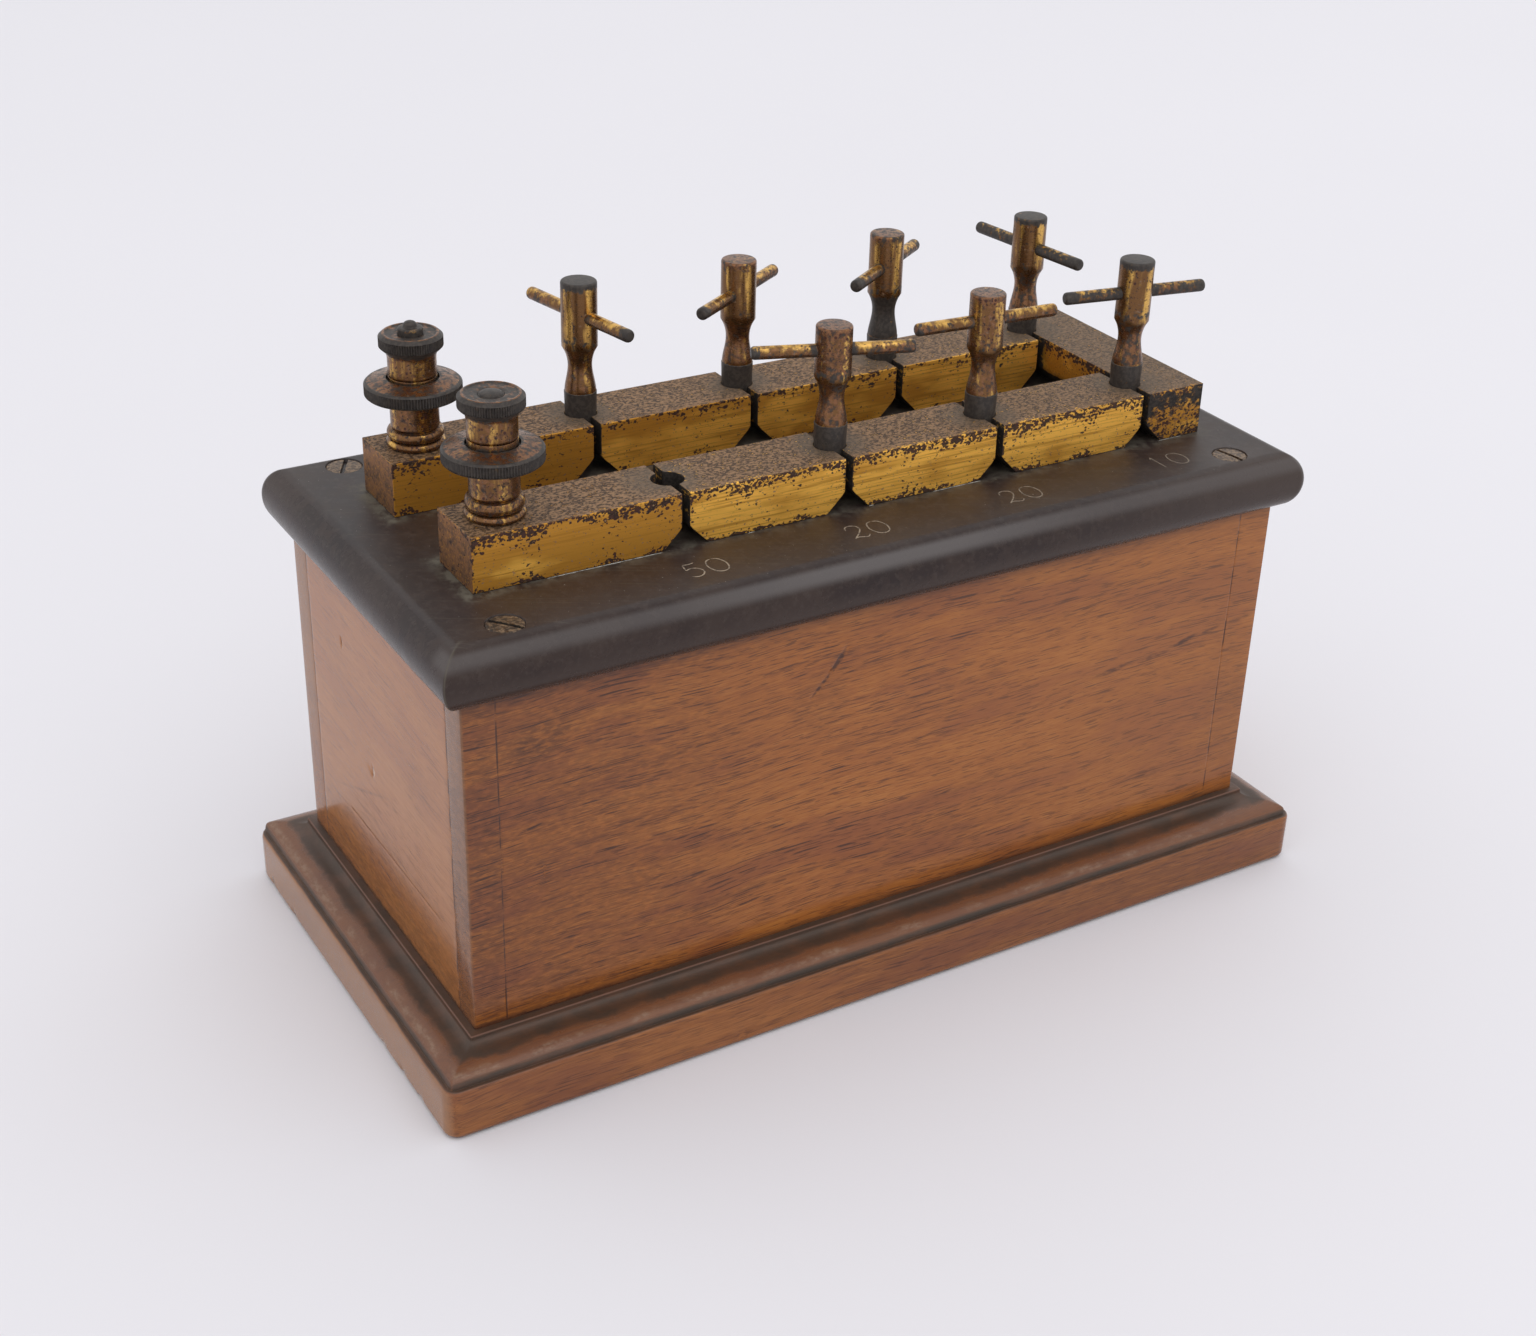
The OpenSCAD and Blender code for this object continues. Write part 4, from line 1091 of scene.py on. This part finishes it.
# Taper plugs: straight collar, waisted neck, round head; how dark each part of a plug has gone is set for each
plugs = {
    "steps": 72,
    "collarTop": 5.0,
    "collarRadius": 3.45,
    "tailRadius": 3.08,
    "tailDepth": 10.7,
    "waistRadius": 2.55,
    "waistLevel": 10.8,
    "headStart": 15.0,
    "headRadius": 3.8,
    "headEdge": 0.55,
    "bandsRound": 5,
    "faceAngle": -121.7,
    # soot on the cap, copper on cap, head and neck, soot on the neck and low on the head, spots, turn of the bands
    "finish": {
        "front_plug_2": (0.15, 0.9, 0.62, 0.66, 0.25, 0.50, 0.56, 6),
        "front_plug_3": (0.20, 0.8, 0.40, 0.55, 0.20, 0.30, 0.54, 2),
        "front_plug_4": (1.00, 0.2, 0.20, 0.72, 0.30, 0.55, 0.48, 8),
        "rear_plug_1": (1.00, 0.2, 0.12, 0.45, 0.12, 0.40, 0.42, 0),
        "rear_plug_2": (0.20, 0.8, 0.15, 0.60, 0.15, 0.20, 0.36, -4),
        "rear_plug_3": (0.35, 0.7, 0.15, 0.50, 0.98, 0.30, 0.36, 3),
        "rear_plug_4": (0.85, 0.5, 0.15, 0.68, 0.35, 0.30, 0.40, 0),
    },
}


def plugOutline(look, height):
    # tail taper, collar, neck as two smooth steps through the waist, a short cone to the head, a soft crown
    t = np.linspace(0, 1, 15)
    waist, level = look["waistRadius"], look["waistLevel"]
    collarR, collarTop = look["collarRadius"], look["collarTop"]
    headR, headStart, edge = look["headRadius"], look["headStart"], look["headEdge"]
    shoulder, neckStart, neckTop = collarR - 0.12, collarTop + 0.25, headR - 0.55
    collar = [(0, -look["tailDepth"]), (look["tailRadius"], -look["tailDepth"]), (collarR, collarTop),
              (shoulder, collarTop + 0.12)]
    lower = np.stack([shoulder + (waist - shoulder) * ease(t) ** 0.85, neckStart + (level - neckStart) * t], -1)
    upper = np.stack([waist + (neckTop - waist) * t ** 2, level + (headStart - 1.0 - level) * t], -1)
    crown = softened([(headR, headStart), (headR, height), (0, height)], (0, edge, 0), 6)
    straight = np.linspace(headStart, height - edge, 9)[1:-1]
    barrel = np.stack([np.full(len(straight), headR), straight], -1)
    return np.concatenate([collar, lower, upper[1:], crown[:1], barrel, crown[1:]])


def reflectionAngle(places, axis, turn):
    # angle about an upright axis, from the side that faces the camera
    return np.arctan2(places[:, 1] - axis[1], places[:, 0] - axis[0]) - math.radians(plugs["faceAngle"] + turn)


def makePlug(cadName, look):
    # the outline turned about the plug's axis; zones of soot and copper follow the height above the blocks
    low, high = boxOf(cadName)
    centre = (*(low + high)[:2] / 2, blockTop)
    height = high[2] - blockTop
    row, number = cadName.split("_plug_")
    turned = lathe(plugOutline(look, height), look["steps"], centre)
    piece = makePiece(f"{row}Plug{number}", [turned], cadName, [cadName], turnedMetal)
    capSoot, capCopper, headCopper, neckCopper, neckSoot, lowSoot, spots, turn = look["finish"][cadName]
    places = vertexArrays(piece)[0]
    level, headStart = places[:, 2] - blockTop, look["headStart"]
    collar = ease((look["collarTop"] + 0.2 - level) / 0.15)
    neck = ease((level - look["collarTop"]) / 0.6) * ease((headStart + 0.3 - level) / 1.2)
    head = ease((level - headStart) / 0.5)
    ring = bell(level - headStart + 0.3, 0.35)
    cap = ease((level - height + 2.0) / 1.3)
    lowHead = head * bell(level - headStart - 1.2, 1.6)
    # upright bands of painted reflection round the head: half of 1 - cos(bands times the angle from the front),
    # brighter towards one side of the view
    angle = reflectionAngle(places, centre, turn)
    gold = (0.5 - 0.5 * np.cos(look["bandsRound"] * angle)) ** 1.4 * (0.72 + 0.28 * np.sin(angle))
    gold = 0.03 + 0.80 * gold * head + 0.38 * gold * (1 - head)
    soot = 1.05 * collar + 0.45 * ring + capSoot * cap + neckSoot * neck + lowSoot * lowHead + 0.05 * head
    copper = neckCopper * neck + headCopper * head * (1 - cap) + capCopper * cap
    paint(piece, soot=np.clip(soot, 0, 1.1), dust=0.0, copper=np.clip(copper, 0, 1), gold=gold,
          spotty=spots * (0.7 + 0.3 * head) + 0.12 * cap)


# Cross pins: round rods through the heads, each at its plug's own angle
pins = {
    "steps": 32,
    "rings": 25,
    "radius": 1.375,
    "length": 34.0,
    "endRound": 0.85,
    # turn in degrees, soot along the pin, more at its first and its last end
    "finish": {
        "front_plug_2": (-19, 0.36, 0.5, 0.4),
        "front_plug_3": (-4, 0.22, 0.4, 0.2),
        "front_plug_4": (-10, 0.62, 0.8, 0.7),
        "rear_plug_1": (-79, 0.26, 0.1, 0.9),
        "rear_plug_2": (33, 0.34, 0.8, 0.2),
        "rear_plug_3": (34, 0.52, 0.9, 0.4),
        "rear_plug_4": (-83, 0.78, 0.5, 0.6),
    },
}


def makePin(plugName, look):
    # outline (radius, place along the pin) turned about an axis that lies at the pin's own angle
    row, number = plugName.split("_plug_")
    cadName = f"{row}_plug_pin_{number}"
    low, high = boxOf(cadName)
    centre = (low + high) / 2
    turn, dark, firstEnd, lastEnd = look["finish"][plugName]
    radius, reach, edge = look["radius"], look["length"] / 2, look["endRound"]
    ends = softened([(0, -reach), (radius, -reach), (radius, reach), (0, reach)], (0, edge, edge, 0), 6)
    split = len(ends) // 2
    rings = np.linspace(-reach + edge, reach - edge, look["rings"])[1:-1]
    middle = np.stack([np.full(len(rings), radius), rings], -1)
    points, quads = lathe(np.concatenate([ends[:split], middle, ends[split:]]), look["steps"], (0, 0, 0))
    c, s = math.cos(math.radians(turn)), math.sin(math.radians(turn))
    along, sideways, up = np.array([(c, s, 0), (-s, c, 0), (0, 0, 1)])
    points = points[..., 2:] * along + points[..., :1] * sideways + points[..., 1:2] * up + centre
    piece = makePiece(f"{row}Pin{number}", [(points, quads)], plugName, [cadName], turnedMetal)
    places, normals = vertexArrays(piece)
    run, upward = (places - centre) @ along, normals[:, 2]
    soot = dark + firstEnd * ease((-run - reach + 3) / 2) + lastEnd * ease((run - reach + 3) / 2)
    root = bell(np.abs(run) - 4.0, 0.8)
    rusty = 0.38 + 0.45 * wander(places, 11, 20 + int(number))
    # the upper side is lighter and more golden, the under side darker: painted highlight and shade
    paint(piece, soot=np.clip(soot + 0.5 * root - 0.2 * upward, 0, 1.05), dust=0.0,
          copper=np.clip(rusty - 0.3 * upward, 0, 1), gold=np.clip(0.10 + 0.5 * upward, 0, 1), spotty=0.46)


for plugName in plugs["finish"]:
    makePlug(plugName, plugs)
    makePin(plugName, pins)
print("plugs and cross pins built")

# Terminals: post with flange, clamp washer, clamp nut with a knurled disc, cap washer and knurled cap nut
terminals = {
    "steps": 96,
    "studRadius": 2.5,
    "boreRadius": 2.56,
    "flange": (6.05, 1.7),
    "washerRadius": 5.8,
    "washerBulge": 0.55,
    "skirt": (4.95, 6.7),
    "discRadius": 9.85,
    "discRim": 0.42,
    "coneRise": 0.8,
    "coneInner": (5.9, 5.3, 5.2),  # top of the cone, edge of the cap washer's seat, foot of the seat
    "capWasherRadius": 4.9,
    "button": {"front": (2.3, 0.62, 0.64), "rear": (1.35, 0.8, 1.25)},
    "barrel": (4.9, 4.8),
    "capRadius": 6.45,
    "knurlDepth": 0.28,
    "discTeeth": 104,
    "capTeeth": 78,
    "stepsPerTooth": 4,
    "bandTurn": -8,
}


def knurl(look, teeth, rimRadius):
    # the rim rows sink by half the depth times (1 - cos(teeth times angle))
    def ripple(outline, angle):
        onRim = (outline[:, :1] > rimRadius - 0.02).astype(float)
        return -onRim * look["knurlDepth"] * (1 - np.cos(teeth * angle)) / 2
    return ripple


def makeTurned(name, cadName, body, outline, look, teeth=0, rimRadius=0.0):
    # the outline turned about its node's axis, with bands of painted reflection; gives the piece, radius, level
    # and normals
    low, high = boxOf(cadName)
    axis = (low + high)[:2] / 2
    base = low[2] if body != "box" else blockTop
    steps = teeth * look["stepsPerTooth"] if teeth else look["steps"]
    turned = lathe(outline, steps, (*axis, base), knurl(look, teeth, rimRadius) if teeth else None)
    piece = makePiece(name, [turned], body, [cadName], turnedMetal, 50)
    places, normals = vertexArrays(piece)
    bands = np.cos(plugs["bandsRound"] * reflectionAngle(places, axis, look["bandTurn"]))
    paint(piece, gold=0.25 - 0.20 * bands, dust=0.0)
    return piece, np.hypot(*(places[:, :2] - axis).T), places[:, 2] - base, normals


def makePost(side, look):
    # tail, flange bowed by a half times t squared, stud and a stepped button with a quarter-ellipse dome
    cadName = f"{side}_terminal_post"
    low, high = boxOf(cadName)
    tail, tip = low[2] - blockTop, high[2] - blockTop
    stud, (flangeR, flangeH) = look["studRadius"], look["flange"]
    t = np.linspace(-1, 1, 9)
    flange = np.stack([flangeR - 0.5 * t ** 2, flangeH * (0.5 + 0.5 * t)], -1)
    dome = np.linspace(0, np.pi / 2, 9)
    knobR, knobH, step = look["button"][side]
    knob = np.stack([knobR * np.cos(dome), tip - knobH + knobH * np.sin(dome)], -1)
    shoulder = softened([(stud, flangeH), (stud, tip - step), (knobR + 0.1, tip - step), (knobR, tip - knobH)],
                        (0, 0.4, 0.2, 0))
    outline = np.concatenate([[(0, tail), (stud, tail), (stud, 0)], flange, shoulder, knob[1:]])
    piece, _, level, _ = makeTurned(f"{side}Post", cadName, "box", outline, look)
    button = level > tip - 2.4
    paint(piece, soot=np.clip(0.92 * button + 0.7 * fade(level, 0.3), 0, 1), copper=0.35, spotty=0.62 * (1 - button))


def makeClampRing(side, look):
    # closed section whose outer side is bowed by the bulge times t squared
    cadName = f"{side}_clamp_washer"
    low, high = boxOf(cadName)
    bore, height = look["boreRadius"], high[2] - low[2]
    t = np.linspace(-1, 1, 9)
    bowed = look["washerRadius"] - look["washerBulge"] * t ** 2
    outer = np.stack([bowed, height * (0.5 + 0.5 * t * (1 - 0.08 * t ** 2))], -1)
    outline = np.concatenate([[(bore, 0)], outer, [(bore, height), (bore, 0)]])
    piece, _, level, _ = makeTurned(f"{side}ClampRing", cadName, cadName, outline, look)
    paint(piece, soot=0.75 * fade(level, 0.3), copper=0.35, spotty=0.75)


def makeClampNut(side, look):
    # skirt that flares into the disc, knurled rim between two small chamfers, top that rises to the barrel
    cadName = f"{side}_clamp_nut"
    low, high = boxOf(cadName)
    height, bore = high[2] - low[2], look["boreRadius"]
    (skirtR, skirtH), discR = look["skirt"], look["discRadius"]
    rim, coneTop = look["discRim"], height + look["coneRise"]
    cone, seatEdge, seatFoot = look["coneInner"]
    corners = [(bore, 0), (skirtR - 0.15, 0), (skirtR, 0.4), (skirtR, skirtH), (discR - rim, skirtH),
               (discR, skirtH + rim), (discR, height - rim), (discR - rim, height), (discR - 0.9, height + 0.05),
               (cone, coneTop), (seatEdge, coneTop), (seatFoot, height - 0.1), (bore, height - 0.12), (bore, 0)]
    radii = (0, 0.1, 0.2, 0.9, 0.2, 0.05, 0.05, 0.2, 0.4, 0.5, 0.1, 0.05, 0, 0)
    piece, radius, level, normals = makeTurned(f"{side}ClampNut", cadName, cadName, softened(corners, radii), look,
                                               look["discTeeth"], discR)
    top = ease((normals[:, 2] - 0.8) / 0.15)
    rimZone = ease((radius - discR + 0.75) / 0.3)
    skirtZone = ease((skirtH - level) / 0.4)
    # the top darkens towards the barrel's foot: partly dirt, partly painted shade
    onTop = 0.40 + 0.5 * fade(radius - seatFoot, 0.5) - 0.1 * bell(radius - 6.6, 0.9)
    soot = 1.05 * rimZone + 0.8 * (1 - skirtZone) * (1 - top) * (1 - rimZone) + top * onTop
    paint(piece, soot=np.clip(soot, 0, 1.1), copper=np.clip(0.52 * skirtZone + 0.85 * top, 0, 1),
          dust=1.3 * top * (1 - rimZone), spotty=0.52 + 0.05 * skirtZone + 0.1 * top)


def makeCapRing(side, look):
    # square section with a softened lower edge
    cadName = f"{side}_cap_washer"
    low, high = boxOf(cadName)
    bore, ringH, ringR = look["boreRadius"], high[2] - low[2], look["capWasherRadius"]
    outline = softened([(bore, 0), (ringR, 0), (ringR, ringH), (bore, ringH), (bore, 0)], (0, 0.35, 0.06, 0, 0))
    piece, _, level, _ = makeTurned(f"{side}CapRing", cadName, cadName, outline, look)
    # the lower edge goes dark: partly dirt, partly painted shade in the gap above the disc
    paint(piece, soot=0.9 * ease((0.95 - level) / 0.5), copper=0.45, spotty=0.54)


def makeCapNut(side, look):
    # barrel that flares into a knurled head; its top has a rim, a groove and a shallow recess
    cadName = f"{side}_cap_nut"
    low, high = boxOf(cadName)
    height, bore = high[2] - low[2], look["boreRadius"]
    (barrelR, barrelH), capR = look["barrel"], look["capRadius"]
    corners = [(bore, 0), (barrelR - 0.2, 0), (barrelR, 0.3), (barrelR, barrelH), (capR - 0.35, barrelH + 1.0),
               (capR, barrelH + 1.4), (capR, height - 0.75), (capR - 0.8, height), (capR - 1.25, height),
               (capR - 1.5, height - 0.26), (bore + 1.2, height - 0.30), (bore + 0.8, height - 0.26),
               (bore + 0.35, height - 0.36), (bore, height - 0.45), (bore, 0)]
    radii = (0, 0.15, 0.2, 1.2, 0.4, 0.05, 0.05, 0.3, 0.2, 0.2, 0.3, 0.15, 0.15, 0, 0)
    piece, radius, level, normals = makeTurned(f"{side}CapNut", cadName, cadName, softened(corners, radii), look,
                                               look["capTeeth"], capR)
    top = ease((normals[:, 2] - 0.75) / 0.15) * (level > barrelH + 2)
    rimZone = ease((radius - capR + 0.9) / 0.4) * (level > barrelH + 0.6)
    barrelZone = ease((barrelH + 0.3 - level) / 0.8)
    edge = bell(radius - capR + 0.95, 0.22) * (level > height - 0.5)
    soot = rimZone + 0.72 * top + 0.8 * (1 - barrelZone) * (1 - top) - 0.8 * edge
    paint(piece, soot=np.clip(soot, 0, 1.1), copper=0.40 * barrelZone + 0.95 * (1 - barrelZone),
          spotty=0.42 + 0.12 * barrelZone)


for side in ("front", "rear"):
    for makePart in (makePost, makeClampRing, makeClampNut, makeCapRing, makeCapNut):
        makePart(side, terminals)
print("terminals built")

# Panel screws: slotted heads a hair below the panel's face
screws = {
    "radius": 3.82,
    "slotHalf": 0.45,
    "slotDepth": 1.0,
    "skirt": 1.5,
    "sunk": 0.06,
    "crown": 0.12,
    "edge": 0.25,
    "turns": (-51, -80, 62, 20),
    # how dark each head is; the front right head's 0 is partly a painted reflection
    "dark": (0.45, 0.0, 0.12, 0.3),
}


def screwHead(look, x, y, level, turn):
    # rows across the slot, columns along it: u = t times the chord's half at v, with the slot's walls as doubled rows
    radius, slot, inner = look["radius"], look["slotHalf"], look["radius"] - 0.5
    rounding = inner + 0.5 * np.sin(np.linspace(0, np.pi / 2, 7)[1:])
    half = np.concatenate([np.linspace(slot, inner, 12), rounding])
    v = np.concatenate([-half[::-1], [-slot + 0.01, slot - 0.01], half])[:, None]
    low = np.concatenate([np.zeros(len(half)), [1, 1], np.zeros(len(half))])[:, None]
    t = np.concatenate([[0, -1], np.sin(np.linspace(-np.pi / 2, np.pi / 2, 25)), [1, 0]])[None]
    under = np.concatenate([[1, 1], np.zeros(25), [1, 1]])[None]
    u = t * np.sqrt(np.clip(radius ** 2 - v ** 2, 0, None))
    rho = np.hypot(u, v) / radius
    z = -look["sunk"] - look["crown"] * rho ** 2 - look["edge"] * np.clip((rho - 0.92) / 0.08, 0, 1) ** 2
    z = np.where(low > 0, -look["slotDepth"], z)
    z = np.where(under > 0, -look["skirt"], z)
    c, s = math.cos(math.radians(turn)), math.sin(math.radians(turn))
    return patch(np.stack([x + u * c - v * s, y + u * s + v * c, level + z], -1))


def makeScrews(look):
    # one head at each corner of the screws' box; the slot is darker, the face dusty
    low, high = boxOf("top_screws")
    low, high = low + shared["screwHalf"], high - (shared["screwHalf"], shared["screwHalf"], 0)
    places = [(x, y) for y in (low[1], high[1]) for x in (low[0], high[0])]
    patches = [screwHead(look, x, y, high[2], turn) for (x, y), turn in zip(places, look["turns"])]
    piece = makePiece("panelScrews", patches, "box", ["top_screws"], turnedMetal)
    x, y, z = vertexArrays(piece)[0].T
    slot = ease((high[2] - 0.5 - z) / 0.3)
    dark = np.array(look["dark"])[2 * (y > 0) + (x > 0)]
    paint(piece, soot=dark + 1.1 * slot, dust=1.0 - slot, copper=0.3 * (1 - slot), gold=0.1, spotty=0.3)


makeScrews(screws)
print("panel screws built")

# Engraved numbers filled with a pale paste: strokes through a few points, thin at their ends
numbers = {
    "height": 5.8,
    "width": 4.1,
    "space": 5.3,
    "stroke": 0.30,
    "lift": 0.03,
    "colour": (0.33, 0.265, 0.195),
    "grey": (0.12, 0.098, 0.076),
    "words": [("50", -42.7, -37.1), ("20", -5.25, -36.8), ("20", 32.9, -36.9), ("10", 72.4, -37.0),
              ("1", -43.1, 37.0), ("2", -5.4, 37.0), ("2", 32.9, 37.0), ("5", 72.4, 37.0)],
    "glyphs": {
        "0": [[(0.5, 1.0), (0.16, 0.88), (0.0, 0.5), (0.16, 0.12), (0.5, 0.0), (0.84, 0.12), (1.0, 0.5), (0.84, 0.88),
               (0.5, 1.0)]],
        "1": [[(0.36, 0.86), (0.5, 1.0)], [(0.5, 1.0), (0.49, 0.5), (0.5, 0.0)]],
        "2": [[(0.1, 0.72), (0.22, 0.93), (0.5, 1.0), (0.8, 0.9), (0.84, 0.66), (0.6, 0.4), (0.28, 0.17), (0.04, 0.02)],
              [(0.04, 0.02), (0.28, 0.1), (0.55, 0.04), (0.8, 0.0), (1.0, 0.14)]],
        "5": [[(0.86, 1.0), (0.55, 0.96), (0.24, 0.98)], [(0.24, 0.98), (0.2, 0.78), (0.16, 0.56)],
              [(0.16, 0.56), (0.42, 0.64), (0.74, 0.58), (0.92, 0.34), (0.76, 0.1), (0.42, 0.0), (0.1, 0.1)]],
    },
}


def throughPoints(points, steps=8):
    # Catmull-Rom curve through the points, with the ends carried straight on
    p = np.array(points, float)
    p = np.concatenate([2 * p[:1] - p[1:2], p, 2 * p[-1:] - p[-2:-1]])
    t = np.linspace(0, 1, steps, endpoint=False)[None, :, None]
    a, b, c, d = p[:-3, None], p[1:-2, None], p[2:-1, None], p[3:, None]
    curve = (2 * b + (c - a) * t + (2 * a - 5 * b + 4 * c - d) * t ** 2 + (3 * b - a - 3 * c + d) * t ** 3) / 2
    return np.concatenate([curve.reshape(-1, 2), p[-2:-1]])


def inlay(path, width, lift, level):
    # flat oval section along the path, drawn in to a point at both ends
    run = np.gradient(path, axis=0)
    run /= np.linalg.norm(run, axis=1, keepdims=True)
    sideways = np.stack([-run[:, 1], run[:, 0]], -1)
    grow = np.minimum(1, 4 * np.sin(np.linspace(0, np.pi, len(path)))) ** 0.5
    angle = np.linspace(0, 2 * np.pi, 10, endpoint=False)
    reach = np.broadcast_to(width, len(path))[:, None, None] / 2
    flat = path[:, None] + sideways[:, None] * np.cos(angle)[None, :, None] * reach * grow[:, None, None]
    rise = np.where(np.sin(angle) > 0, lift * np.sin(angle), 0.08 * np.sin(angle))[None] * grow[:, None]
    return patch(np.concatenate([flat, (level + rise)[..., None]], -1), closed=True)


def pasteMaterial(name, dark, pale):
    # pale paste in ragged wear, fainter towards the right end
    material, shader, place = newMaterial(name)
    left = place.axes()[0].smooth(-50 * mm, 85 * mm).spread(1.0, 0.35)
    kept = place.noise((1.1, 1.1, 1.1), 3, 0.6).smooth(0.34, 0.6) * left
    fill(shader, {"Base Color": blend(kept, dark, pale), "Roughness": 0.7})
    return material


def makeNumbers(look):
    # each stroke is scaled from the unit square to its digit's place
    level = boxOf("top_panel")[1][2]
    patches = []
    for word, x, y in look["words"]:
        for place, digit in enumerate(word):
            start = (place - len(word) / 2) * look["space"] + (look["space"] - look["width"]) / 2
            for stroke in look["glyphs"][digit]:
                path = throughPoints(stroke) * (look["width"], look["height"])
                path = path + (x + start, y - look["height"] / 2)
                patches.append(inlay(path, look["stroke"], look["lift"], level))
    paste = pasteMaterial("paleInlay", look["grey"], look["colour"])
    makePiece("panelNumbers", patches, "box", [], paste, 60)


# Old polish left in the corner at the blocks' feet; a trace runs at y from x to x
traces = {
    "lift": 0.12,
    "step": 0.3,
    "pale": (0.52, 0.50, 0.46),
    "grey": (0.20, 0.19, 0.165),
    "runs": [(-27.45, -72, -47), (-27.45, -27.5, -26), (-27.45, 1.2, 2.4), (-27.45, 17, 29.5), (-27.45, 77.5, 84),
             (11.25, -60, -52), (27.45, -20, -8), (27.45, 22, 30), (27.45, 55, 66)],
}


def makeTraces(look):
    # thin beads whose width wanders along the run
    level = boxOf("top_panel")[1][2]
    patches = []
    for number, (y, x0, x1) in enumerate(look["runs"]):
        path = np.linspace((x0, y), (x1, y), int((x1 - x0) / look["step"]) + 6)
        width = 0.04 + 0.13 * np.clip(0.4 + 0.8 * wander(path, 5, 60 + number), 0, 1)
        patches.append(inlay(path, width, look["lift"], level))
    makePiece("polishTraces", patches, "box", [], pasteMaterial("oldPolish", look["grey"], look["pale"]), 60)


makeTraces(traces)
makeNumbers(numbers)
print("numbers inlaid")

# Inside pieces keep their CAD shapes: wood for the bobbins, silk-wound wire, plain screws
inside = {
    "boxwoodPale": (0.62, 0.43, 0.20),
    "boxwoodDark": (0.46, 0.28, 0.11),
    "silkPale": (0.075, 0.19, 0.10),
    "silkDark": (0.022, 0.06, 0.034),
    "silkPitch": 0.45,
    "metal": ("base_screws", "block_screws", "bobbin_screws", "post_nuts"),
}


def dressInside(look):
    # boxwood: noise drawn out upwards; silk: one sine wave for each turn of the wire, broken by a fine noise
    wood, shader, place = newMaterial("boxwood")
    rings = place.noise((1.2, 1.2, 25), 3, 0.6)
    fill(shader, {"Base Color": blend(rings, look["boxwoodDark"], look["boxwoodPale"]), "Roughness": 0.5})
    addBump(shader, rings, 0.2, 0.05)
    silk, shader, place = newMaterial("silkWire")
    turns = (place.axes()[2] * (2 * math.pi / (look["silkPitch"] * mm))).math("SINE") * 0.5 + 0.5
    thread = turns * place.noise((0.6, 0.6, 0.3))
    fill(shader, {"Base Color": blend(thread, look["silkDark"], look["silkPale"]), "Roughness": 0.6})
    addBump(shader, turns, 0.6, 0.15)
    finishes = {"coil_bobbins": wood, "coil_leads": silk}
    finishes.update({name: turnedMetal for name in look["metal"]})
    finishes.update({f"{row}_winding_{n}": silk for row in ("front", "rear") for n in range(1, 5)})
    for name, material in finishes.items():
        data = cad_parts[name].data
        data.materials.clear()
        data.materials.append(material)


dressInside(inside)
print("inside pieces dressed")
